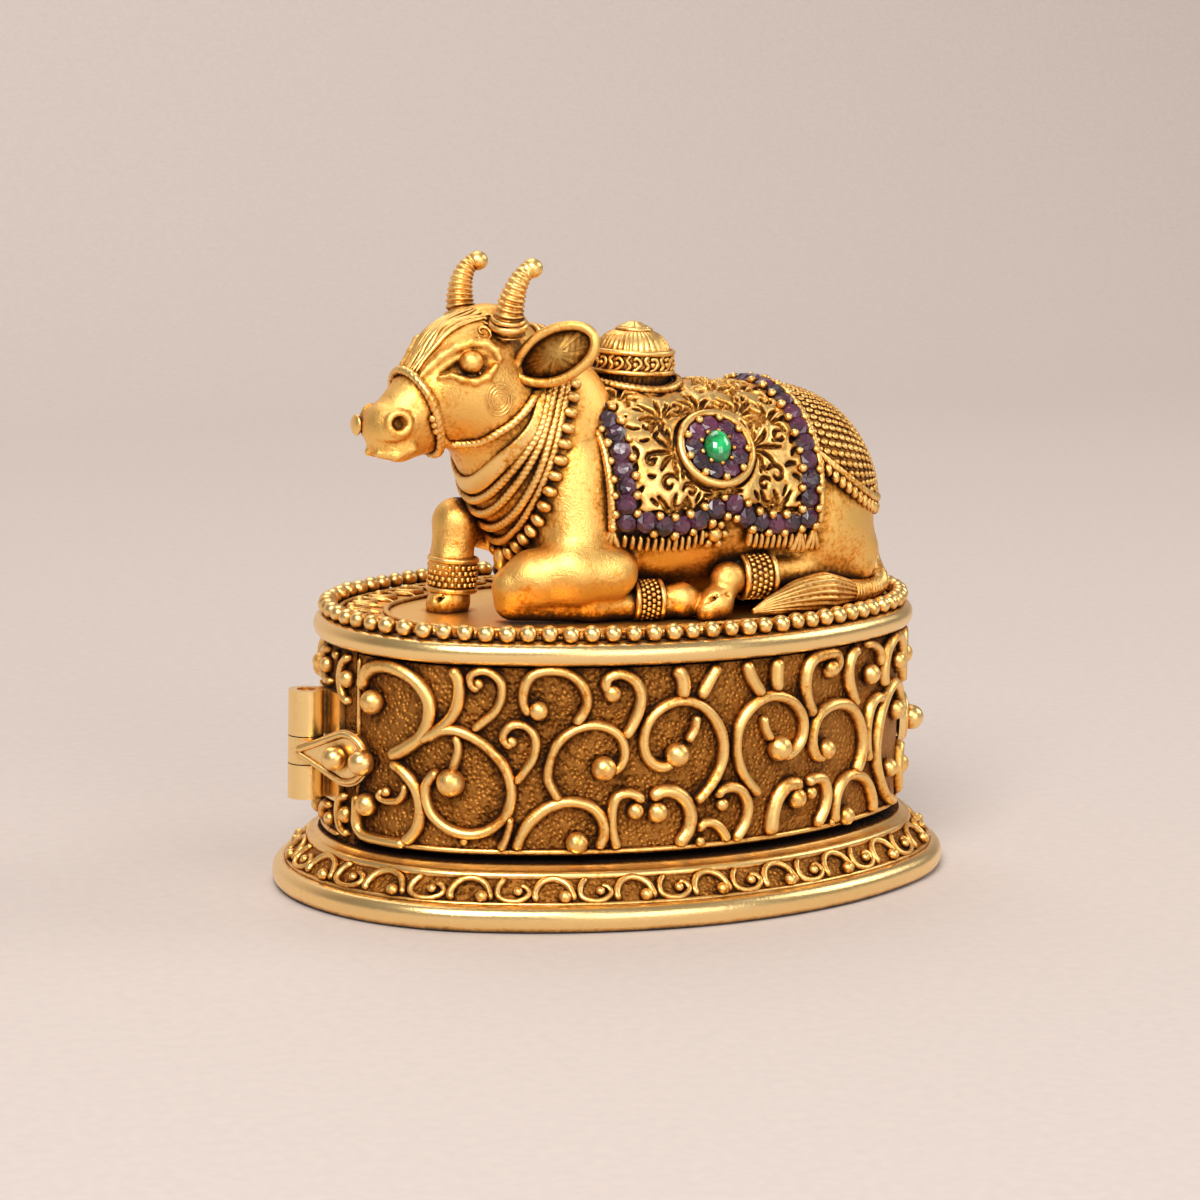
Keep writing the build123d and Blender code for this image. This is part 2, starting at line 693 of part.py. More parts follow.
# Medallion on each side
middle = barrel_point(MEDALLION_X, MEDALLION_ANGLE, CLOTH_GROW)
facing = (middle - barrel_point(MEDALLION_X, MEDALLION_ANGLE, 0)).normalized()
with BuildPart() as medallion_bezels:
    for spot, outward in ((middle, facing), (mirrored(middle), mirrored(facing))):
        with Locations(Plane(origin=spot, x_dir=(1, 0, 0), z_dir=outward)):
            Torus(MEDALLION_RADIUS, MEDALLION_WIRE)
save("medallion_bezels", medallion_bezels.part)

with BuildPart() as medallion_cabochons:
    for spot in (middle, mirrored(middle)):
        with Locations(spot):
            Sphere(CABOCHON_RADIUS)
save("medallion_cabochons", medallion_cabochons.part)

stone_plane = Plane(origin=middle, x_dir=(1, 0, 0), z_dir=facing)
with BuildPart() as medallion_stones:
    for index in range(MEDALLION_STONES):
        around = tau * index / MEDALLION_STONES
        spot = stone_plane.from_local_coords(
            (MEDALLION_STONE_LINE * cos(around), MEDALLION_STONE_LINE * sin(around), 0)
        )
        with Locations(spot, mirrored(spot)):
            Sphere(MEDALLION_STONE_RADIUS)
save("medallion_stones", medallion_stones.part)

# Drops hanging from the hem of the rump cloth
with BuildPart() as rump_fringe:
    for index in range(HEM_DROPS):
        share = (index + 0.5) / HEM_DROPS
        x = RUMP_HEM_START[0] + (HEM_LAST_X - RUMP_HEM_START[0]) * share
        hem_z = RUMP_HEM_START[2] + (RUMP_HEM_END[2] - RUMP_HEM_START[2]) * share - HEM_DROP_RADIUS
        sink = RUMP_CLOTH_GROW / 2
        angle = 0.0
        spot = barrel_point(x, angle, sink)
        while spot.Z < hem_z:
            angle += 1.0
            spot = barrel_point(x, angle, sink)
        with Locations(spot, mirrored(spot)):
            Sphere(HEM_DROP_RADIUS)
save("rump_fringe", rump_fringe.part)
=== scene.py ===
import bpy
import numpy as np
from math import atan2, cos, hypot, pi, radians, sin, sqrt, tau
from mathutils import Matrix, Vector


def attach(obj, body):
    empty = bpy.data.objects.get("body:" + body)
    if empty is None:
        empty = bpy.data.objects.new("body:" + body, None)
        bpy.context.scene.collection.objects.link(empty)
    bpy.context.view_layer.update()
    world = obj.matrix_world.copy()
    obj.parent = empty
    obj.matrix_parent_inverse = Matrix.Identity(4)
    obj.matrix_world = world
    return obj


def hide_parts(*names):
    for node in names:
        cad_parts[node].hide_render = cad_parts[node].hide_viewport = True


# An oval sindoor box with a reclining bull on its deck. Lengths are in mm until a piece is made.
# X runs along the box, the bull faces -X, the viewer's side is -Y and Z is up.

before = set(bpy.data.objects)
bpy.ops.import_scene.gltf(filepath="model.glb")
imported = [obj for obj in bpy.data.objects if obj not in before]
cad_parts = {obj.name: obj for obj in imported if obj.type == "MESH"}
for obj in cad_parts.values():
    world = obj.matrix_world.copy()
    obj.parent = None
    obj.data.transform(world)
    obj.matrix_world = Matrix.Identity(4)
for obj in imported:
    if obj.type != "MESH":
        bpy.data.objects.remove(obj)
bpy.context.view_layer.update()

MM = 0.001
rng = np.random.default_rng(11)

# Drum: a four-arc oval. A "grow" is a distance outside its wall.
HALF_LENGTH, HALF_WIDTH, END_RADIUS = 26.6, 17.6, 14.0
RIM_GROW, RIM_INNER, RIM_TOP, RIM_CORNER = 4.4, 3.2, 2.25, 0.95
FOOT_TOP_GROW, FOOT_TOP = 0.5, 5.05
BAND_GROW, DECK_BOTTOM, DECK_TOP = 1.1, 21.7, 23.6
BEAD_RADIUS, BEAD_COUNT = 0.775, 80
HINGE, LEAF_Z = (-28.6, 2.6), 12.6

# Axis height of the bull's barrel, how far the saddle and rump cloths stand off it, and the head's turn
AXIS_Z = 33.0
CLOTH, RUMP_LIFT = 0.7, 0.5
HEAD_TURN, HEAD_PIVOT_X = radians(6.0), -12.0


class Heap:
    """Gathers points and faces until they are made into one piece."""

    def __init__(self):
        self.points, self.quads, self.tris, self.count = [], [], [], 0

    def add(self, points, quads=(), tris=()):
        points = np.asarray(points, float).reshape(-1, 3)
        self.quads.append(np.asarray(quads, int).reshape(-1, 4) + self.count)
        self.tris.append(np.asarray(tris, int).reshape(-1, 3) + self.count)
        self.points.append(points)
        self.count += len(points)

    def make(self, name, material, nodes=(), body="stand", slot="antique_gold", smooth=True):
        points, quads, tris = (np.concatenate(part) for part in (self.points, self.quads, self.tris))
        mesh = bpy.data.meshes.new(name)
        mesh.vertices.add(len(points))
        mesh.vertices.foreach_set("co", (points * MM).astype(np.float32).ravel())
        loops = np.concatenate([quads.ravel(), tris.ravel()])
        mesh.loops.add(len(loops))
        mesh.loops.foreach_set("vertex_index", loops)
        total = len(quads) + len(tris)
        starts = np.concatenate([np.arange(len(quads)) * 4, len(quads) * 4 + np.arange(len(tris)) * 3])
        mesh.polygons.add(total)
        mesh.polygons.foreach_set("loop_start", starts)
        mesh.polygons.foreach_set("use_smooth", np.full(total, smooth))
        mesh.update(calc_edges=True)
        mesh.validate()
        mesh.materials.append(material)
        made = bpy.data.objects.new(name, mesh)
        bpy.context.scene.collection.objects.link(made)
        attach(made, body)
        if nodes:
            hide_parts(*nodes)


def unit(v):
    v = np.asarray(v, float)
    return v / np.maximum(np.linalg.norm(v, axis=-1, keepdims=True), 1e-9)


def angles(count):
    """Angles evenly spread over a full turn."""
    return np.arange(count) / count * tau


def circle(centre, radius, axes, count):
    """Points on a circle whose plane holds the first two of these axes."""
    a = angles(count)[:, None]
    return centre + radius * (np.cos(a) * axes[0] + np.sin(a) * axes[1])


# Curves and swept wires


def smooth_path(points, step=0.22):
    """A smooth path through these points, evenly spaced. Works in two or three dimensions."""
    points = np.asarray(points, float)
    padded = np.vstack([2 * points[0] - points[1], points, 2 * points[-1] - points[-2]])
    fine = []
    t = np.linspace(0, 1, 24, endpoint=False)[:, None]
    for a, b, c, d in zip(padded, padded[1:], padded[2:], padded[3:]):
        flow = 2 * b + (c - a) * t + (2 * a - 5 * b + 4 * c - d) * t**2
        fine.append(0.5 * (flow + (3 * b - a - 3 * c + d) * t**3))
    fine.append(points[-1:])
    return even(np.concatenate(fine), step)


def run_along(path):
    """The length run at each point of a path."""
    return np.concatenate([[0], np.cumsum(np.linalg.norm(np.diff(path, axis=0), axis=1))])


def even(fine, step):
    """The same path with even spacing."""
    fine = np.asarray(fine, float)
    run = run_along(fine)
    at = np.linspace(0, run[-1], max(int(run[-1] / step) + 1, 4))
    return np.stack([np.interp(at, run, fine[:, k]) for k in range(fine.shape[1])], axis=1)


def rings_to_heap(heap, rings, closed=False):
    """Join rings of points, an array of ring by side by 3, into a tube."""
    count, sides = rings.shape[:2]
    index = np.arange(count * sides).reshape(count, sides)
    following = np.roll(index, -1, axis=0) if closed else index[1:]
    here = index if closed else index[:-1]
    quads = np.stack([here, np.roll(here, -1, axis=1), np.roll(following, -1, axis=1), following], axis=-1)
    points, tris = rings.reshape(-1, 3), []
    if not closed:
        points = np.vstack([points, rings[0].mean(axis=0), rings[-1].mean(axis=0)])
        first, last, top = index[0], index[-1], np.full(sides, count * sides)
        start_cap = np.stack([top, np.roll(first, -1), first], axis=-1)
        tris = np.concatenate([start_cap, np.stack([top + 1, last, np.roll(last, -1)], axis=-1)])
    heap.add(points, quads.reshape(-1, 4), tris)


def end_taper(count, step, width):
    """Shares that round off a wire's ends over half its width."""
    along = np.arange(count) * step
    reach = max(width * 0.5, 1e-6)
    share = np.ones(count)
    for run in (along, along[::-1]):
        share = np.minimum(share, np.sqrt(np.clip(1 - (1 - np.clip(run / reach, 0, 1)) ** 2, 0.01, 1)))
    return share


def wire_on(
    heap, surface, points, width, height, sides=10, step=0.22, taper=(1.0, 1.0), rough=0.03, sink=0.15
):
    """Lay a half-round wire on a surface along these surface coordinates."""
    path = smooth_path(points, step)
    count = len(path)
    tangent = unit(np.gradient(path, axis=0))
    across = np.stack([-tangent[:, 1], tangent[:, 0]], axis=1)
    middle_wide = np.interp(np.linspace(0, 1, count), [0, 0.5, 1], [taper[0], 1, taper[1]])
    share = end_taper(count, step, width) * middle_wide
    bumps = 1 + rough * np.convolve(rng.normal(size=count + 8), np.ones(9) / 3, "valid")[:count]
    half = width / 2 * share * bumps
    around = angles(sides)
    flat = path[:, None, :] + across[:, None, :] * (half[:, None] * np.cos(around))[..., None]
    spots, normals = surface(flat.reshape(-1, 2))
    lift = (height * share)[:, None] * np.sin(around)
    lift = np.where(lift < 0, -sink, lift)
    rings = spots.reshape(count, sides, 3) + normals.reshape(count, sides, 3) * lift[..., None]
    rings_to_heap(heap, rings)


SPHERES = {}


def unit_sphere(fine):
    """Points, quads and triangles of a ball of radius 1."""
    if fine not in SPHERES:
        sides = fine * 2
        down = np.linspace(0, pi, fine + 1)[1:-1, None]
        around = angles(sides)
        across = np.sin(down)
        ring = [across * np.cos(around), across * np.sin(around), np.cos(down) + 0 * around]
        ring = np.stack(ring, axis=-1)
        index = np.arange(ring.shape[0] * sides).reshape(-1, sides)
        after = np.roll(index, -1, axis=1)
        quads = np.stack([index[:-1], index[1:], after[1:], after[:-1]], axis=-1).reshape(-1, 4)
        top = np.full(sides, ring.shape[0] * sides)
        north = np.stack([top, index[0], after[0]], axis=-1)
        tris = np.concatenate([north, np.stack([top + 1, after[-1], index[-1]], axis=-1)])
        SPHERES[fine] = (np.vstack([ring.reshape(-1, 3), [0, 0, 1], [0, 0, -1]]), quads, tris)
    return SPHERES[fine]


def ball(heap, centre, radii, axes=None, fine=10):
    """Add a ball or an ellipsoid whose axes are the rows of axes."""
    points, quads, tris = unit_sphere(fine)
    shaped = points * np.asarray(radii, float)
    if axes is not None:
        shaped = shaped @ np.asarray(axes, float)
    heap.add(shaped + np.asarray(centre, float), quads, tris)


def axes_from(normal, along=(1.0, 0.0, 0.0)):
    """Rows: a direction near along, the direction across it, and the normal."""
    normal = unit(normal)
    along = np.asarray(along, float)
    along = unit(along - normal * (along @ normal))
    return framed(along, normal)


def framed(along, normal):
    """Rows: this direction, the direction across it, and the normal."""
    return np.stack([along, np.cross(normal, along), normal])


def ball_on(heap, surface, spot, radius, lift=0.35, flat=1.0, fine=10, stretch=1.0):
    """Set a ball on a surface at these surface coordinates."""
    where, normal = surface(np.array([spot]))
    ahead, _ = surface(np.array([[spot[0] + 0.05, spot[1]]]))
    axes = axes_from(normal[0], ahead[0] - where[0])
    ball(heap, where[0] + normal[0] * radius * lift, (radius * stretch, radius, radius * flat), axes, fine)


def sweep_3d(heap, path, radii, sides=12, closed=False, section=None, twist=None, normals=None):
    """Sweep a round or shaped section along a path in space."""
    path = np.asarray(path, float)
    tangent = np.roll(path, -1, axis=0) - np.roll(path, 1, axis=0) if closed else np.gradient(path, axis=0)
    tangent = unit(tangent)
    if normals is None:
        normals = [unit(np.cross(tangent[0], [0.13, 0.29, 0.95]))]
        for t in tangent[1:]:
            last = normals[-1]
            normals.append(unit(last - t * (last @ t)))
        normals = np.array(normals)
    else:
        normals = unit(normals - tangent * np.sum(normals * tangent, axis=1, keepdims=True))
    sideways = np.cross(tangent, normals)
    around = angles(sides)
    radii = np.broadcast_to(np.asarray(radii, float), (len(path),))
    reach = np.broadcast_to(radii[:, None], (len(path), sides))
    if section is not None:
        reach = reach * section(around[None, :] - twist[:, None])
    rings = (
        path[:, None, :]
        + normals[:, None, :] * (reach * np.cos(around))[..., None]
        + sideways[:, None, :] * (reach * np.sin(around))[..., None]
    )
    rings_to_heap(heap, rings, closed)


def two_strands(a):
    return 0.84 + 0.24 * np.abs(np.cos(a)) ** 0.8


def rope_3d(heap, path, radius, pitch, closed=False, sides=10, step=0.12):
    """Sweep a rope of two twisted strands along a path in space."""
    path = even(np.vstack([path, path[:1]]) if closed else path, step)
    if closed:
        path = path[:-1]
    twist = np.arange(len(path)) * step / pitch * tau
    if closed:
        twist = np.linspace(0, round(twist[-1] / tau * 2) / 2 * tau, len(path), endpoint=False)
    sweep_3d(heap, path, radius, sides, closed, two_strands, twist)


# The oval

END_X = HALF_LENGTH - END_RADIUS
SIDE_RADIUS = (END_X**2 + HALF_WIDTH**2 - END_RADIUS**2) / (2 * (HALF_WIDTH - END_RADIUS))
SIDE_Y = SIDE_RADIUS - HALF_WIDTH
END_ANGLE = atan2(SIDE_Y, END_X)
END_RUN = END_RADIUS * END_ANGLE
SIDE_RUN = SIDE_RADIUS * (pi - 2 * END_ANGLE)
HALF_RUN = 2 * END_RUN + SIDE_RUN


def oval_at(run, grow=0.0, side=-1):
    """Points and outward directions on the grown oval, this far along it from its left end.
    Side -1 is the viewer's half. Runs outside the half go on round the other half."""
    run = np.asarray(run, float)
    flip = np.where((run < 0) | (run > HALF_RUN), -1.0, 1.0) * -side
    s = np.where(run < 0, -run, np.where(run > HALF_RUN, 2 * HALF_RUN - run, run))
    left = pi + s / END_RADIUS
    middle = -pi / 2 - (pi / 2 - END_ANGLE) + (s - END_RUN) / SIDE_RADIUS
    right = -END_ANGLE + (s - END_RUN - SIDE_RUN) / END_RADIUS
    on_left, on_right = s < END_RUN, s >= END_RUN + SIDE_RUN
    angle = np.where(on_left, left, np.where(on_right, right, middle))
    radius = np.where(on_left | on_right, END_RADIUS, SIDE_RADIUS)
    x0 = np.where(on_left, -END_X, np.where(on_right, END_X, 0.0))
    y0 = np.where(on_left | on_right, 0.0, SIDE_Y)
    nx, ny = np.cos(angle), np.sin(angle)
    return x0 + (radius + grow) * nx, (y0 + (radius + grow) * ny) * flip, nx, ny * flip


def wall_surface(side):
    def surface(uv):
        x, y, nx, ny = oval_at(uv[:, 0], 0.0, side)
        return np.stack([x, y, uv[:, 1]], 1), np.stack([nx, ny, 0 * nx], 1)

    return surface


def oval_ring(heap, profile, count=420):
    """Sweep a closed profile of (grow, z) round the oval."""
    run = np.linspace(0, 2 * HALF_RUN, count, endpoint=False)
    rings = np.empty((count, len(profile), 3))
    for k, (grow, z) in enumerate(profile):
        x, y, _, _ = oval_at(run, grow)
        rings[:, k] = np.stack([x, y, 0 * x + z], 1)
    rings_to_heap(heap, rings, closed=True)


# Materials


class Paint:
    """A node material while it is put together."""

    def __init__(self, name):
        self.material = bpy.data.materials.new(name)
        self.material.use_nodes = True
        self.nodes, self.links = self.material.node_tree.nodes, self.material.node_tree.links
        self.shader = self.nodes["Principled BSDF"]
        self.place = self.nodes.new("ShaderNodeTexCoord").outputs["Object"]

    def set(self, node, inputs):
        """Set the inputs of a node to numbers, or link them where an output is given."""
        for name, value in inputs.items():
            if hasattr(value, "is_output"):
                self.links.new(value, node.inputs[name])
            else:
                node.inputs[name].default_value = value

    def node(self, kind, inputs):
        made = self.nodes.new(kind)
        self.set(made, inputs)
        return made

    def noise(self, scale, detail, rough=0.5):
        inputs = {"Scale": scale, "Detail": detail, "Roughness": rough, "Vector": self.place}
        return self.node("ShaderNodeTexNoise", inputs).outputs["Fac"]

    def scaled(self, value, low, high, to_low, to_high):
        inputs = {"Value": value, "From Min": low, "From Max": high, "To Min": to_low, "To Max": to_high}
        return self.node("ShaderNodeMapRange", inputs).outputs["Result"]

    def sums(self, first, second):
        """The sum of two outputs."""
        return self.node("ShaderNodeMath", {0: first, 1: second}).outputs["Value"]

    def colour(self, value, *stops):
        """Colour the shader by a value, with stops of position and colour."""
        ramp = self.node("ShaderNodeValToRGB", {"Fac": value})
        elements = ramp.color_ramp.elements
        elements[0].position, elements[1].position = stops[0][0], stops[-1][0]
        for position, _ in stops[1:-1]:
            elements.new(position)
        for element, (_, tone) in zip(elements, stops):
            element.color = (*tone, 1)
        self.set(self.shader, {"Base Color": ramp.outputs["Color"]})


def antique(name, bright, warm, dark, roughness=0.38, reach=0.9, grain=1.0, patina_and_shade=1.0, engrave=0.0):
    """Gold with a warm tone in its hollows, which is painted shade and painted reflected light, and dark
    patina in its crevices.
    """
    paint = Paint(name)
    crevice = paint.node("ShaderNodeAmbientOcclusion", {"Distance": reach * MM})
    crevice.samples = 6
    stain = paint.scaled(paint.noise(260, 5, 0.6), 0.3, 0.7, -0.20 * patina_and_shade, 0.12)
    speck = paint.scaled(paint.noise(2600, 3, 0.6), 0.3, 0.7, -0.17 * patina_and_shade, 0.10)
    openness = paint.sums(paint.sums(crevice.outputs["AO"], stain), speck)
    # The ramp follows ambient occlusion: the brown and warm tones in partly hidden hollows are painted shade
    # and painted reflected light, and the darkest tone in the crevices is patina.
    brown = tuple(0.42 * c for c in warm)
    paint.colour(
        openness, (0.16 * patina_and_shade, dark), (0.38 * patina_and_shade, brown), (0.62, warm), (0.80, bright), (0.93, bright)
    )
    height = paint.sums(paint.noise(1100, 6, 0.7), paint.scaled(paint.noise(6500, 2, 0.6), 0, 1, 0, 0.6))
    if engrave:
        pits = paint.node("ShaderNodeTexVoronoi", {"Scale": 2300, "Vector": paint.place})
        height = paint.sums(height, paint.scaled(pits.outputs["Distance"], 0, 0.6, 0, engrave))
    bump = paint.node("ShaderNodeBump", {"Strength": 0.35 * grain, "Distance": 0.00006, "Height": height})
    rough_value = paint.scaled(openness, 0.1, 0.8, roughness + 0.25, roughness)
    metal_value = paint.scaled(openness, 0.05, 0.4, 0.35, 1.0)
    finish = {"Roughness": rough_value, "Metallic": metal_value, "Normal": bump.outputs["Normal"]}
    paint.set(paint.shader, finish)
    return paint.material


# WARM is the painted shade and reflected light in the gold's hollows, and DARK is its patina.
BRIGHT, WARM, DARK = (1.0, 0.62, 0.18), (0.84, 0.32, 0.03), (0.020, 0.007, 0.003)
gold = antique("antique_gold", BRIGHT, WARM, DARK)
relief_gold = antique("relief_gold", (1.0, 0.66, 0.23), WARM, DARK, 0.35, 1.0, 1.8, 1.3)
ground_gold = antique(
    "ground_gold", (0.42, 0.18, 0.035), (0.22, 0.075, 0.012), (0.012, 0.004, 0.002), 0.5, 1.8, 3.2, 1.3, 3.0
)
body_gold = antique("body_gold", (1.0, 0.61, 0.17), (0.86, 0.32, 0.03), DARK, 0.38, 1.8, 3.6, 1.3)
smooth_gold = antique("smooth_gold", (1.0, 0.68, 0.27), (0.85, 0.38, 0.06), DARK, 0.30, 1.0, 1.2, 1.1)
# inner_gold is a dimmer copy of the gold for the plate under the box and the tray inside it: painted shade.
inner_gold = antique("inner_gold", (0.80, 0.48, 0.15), (0.60, 0.28, 0.06), DARK, 0.42, 1.5, 1.2, 0.6)
polished_gold = antique("polished_gold", (1.0, 0.71, 0.31), (0.90, 0.47, 0.12), DARK, 0.27, 0.7, 1.2, 0.8)


def cloudy(name, deep, light, scale, detail, span, inputs):
    """A surface clouded with two colours between these stops."""
    paint = Paint(name)
    paint.set(paint.shader, inputs)
    paint.colour(paint.noise(scale, detail), (span[0], deep), (span[1], light))
    return paint.material


def stone(name, deep, light, roughness, scale, coat):
    inputs = {"Roughness": roughness, "Coat Weight": coat, "Coat Roughness": 0.06, "IOR": 1.7}
    return cloudy(name, deep, light, scale, 4, (0.38, 0.68), inputs)


purple = stone("purple_stone", (0.018, 0.007, 0.016), (0.12, 0.017, 0.058), 0.30, 420, 0.2)
green = stone("green_stone", (0.0, 0.16, 0.035), (0.01, 0.55, 0.14), 0.10, 900, 1.0)

# Foot: polished rim, and a slope with a running row of small scrolls under a plain ledge
FOOT_SCROLLS, DECK_SCROLLS = 22, 34
SLOPE = hypot(RIM_INNER - FOOT_TOP_GROW, FOOT_TOP - RIM_TOP)


def foot_slope(uv):
    """The foot between its rim and its top. The second coordinate is mm up the slope."""
    share = uv[:, 1] / SLOPE
    grow = RIM_INNER + (FOOT_TOP_GROW - RIM_INNER) * share
    x, y, nx, ny = oval_at(uv[:, 0])
    spots = np.stack([x + nx * grow, y + ny * grow, RIM_TOP + (FOOT_TOP - RIM_TOP) * share], 1)
    out, rise = (FOOT_TOP - RIM_TOP) / SLOPE, (RIM_INNER - FOOT_TOP_GROW) / SLOPE
    return spots, np.stack([nx * out, ny * out, 0 * nx + rise], 1)


rim, inset = Heap(), RIM_GROW - RIM_CORNER
profile = [(RIM_INNER, 0.0), (inset, 0.0)]
for a in np.linspace(0.15, pi / 2, 7):
    profile.append((inset + RIM_CORNER * sin(a), RIM_CORNER - RIM_CORNER * cos(a)))
for a in np.linspace(0, 1.45, 7):
    profile.append((inset + RIM_CORNER * cos(a), RIM_TOP - RIM_CORNER + RIM_CORNER * sin(a)))
oval_ring(rim, profile + [(RIM_INNER, RIM_TOP)])
rim.make("rim_polished", polished_gold, ["foot_rim"], slot="polished_gold")

ledge = Heap()
step_profile = [(1.55, 4.30), (1.35, 4.62), (1.05, 4.55), (0.62, 4.95), (0.48, 5.06), (0.48, 4.3), (1.5, 3.7)]
lip_profile = [(0.15, 2.1), (0.12, 2.42), (-0.2, 2.5), (-0.3, 2.2)]
oval_ring(ledge, step_profile)
oval_ring(ledge, [(RIM_INNER + grow, z) for grow, z in lip_profile])
ledge.make("foot_ledge", smooth_gold)


def row_of(heap, surface, count, parts):
    """Repeat wires and balls round the oval. Each wire is its points, width and further settings."""
    for index in range(count):
        start = index * (2 * HALF_RUN / count)
        for points, *settings in parts:
            if isinstance(points, list):
                wire_on(heap, surface, [(start + u, v) for u, v in points], *settings)
            else:
                ball_on(heap, surface, (start + points[0], points[1]), *settings, fine=7)


foot_scrolls = Heap()
row_of(foot_scrolls, foot_slope, FOOT_SCROLLS, [
    ([(0.15, 0.25), (0.05, 1.1), (0.6, 2.1), (1.6, 2.45), (2.6, 1.9), (3.0, 0.8), (2.95, 0.35)],
     0.62, 0.42, 8, 0.2),
    ((2.35, 0.62), 0.56, 0.4),
    ([(4.2, 2.5), (3.65, 1.7), (3.6, 0.8), (4.3, 0.3), (5.3, 0.35), (6.0, 0.95), (5.75, 1.6), (5.2, 1.65)],
     0.55, 0.4, 8, 0.2),
    ((5.15, 1.15), 0.42, 0.4),
])
foot_scrolls.make("foot_scrolls", relief_gold)

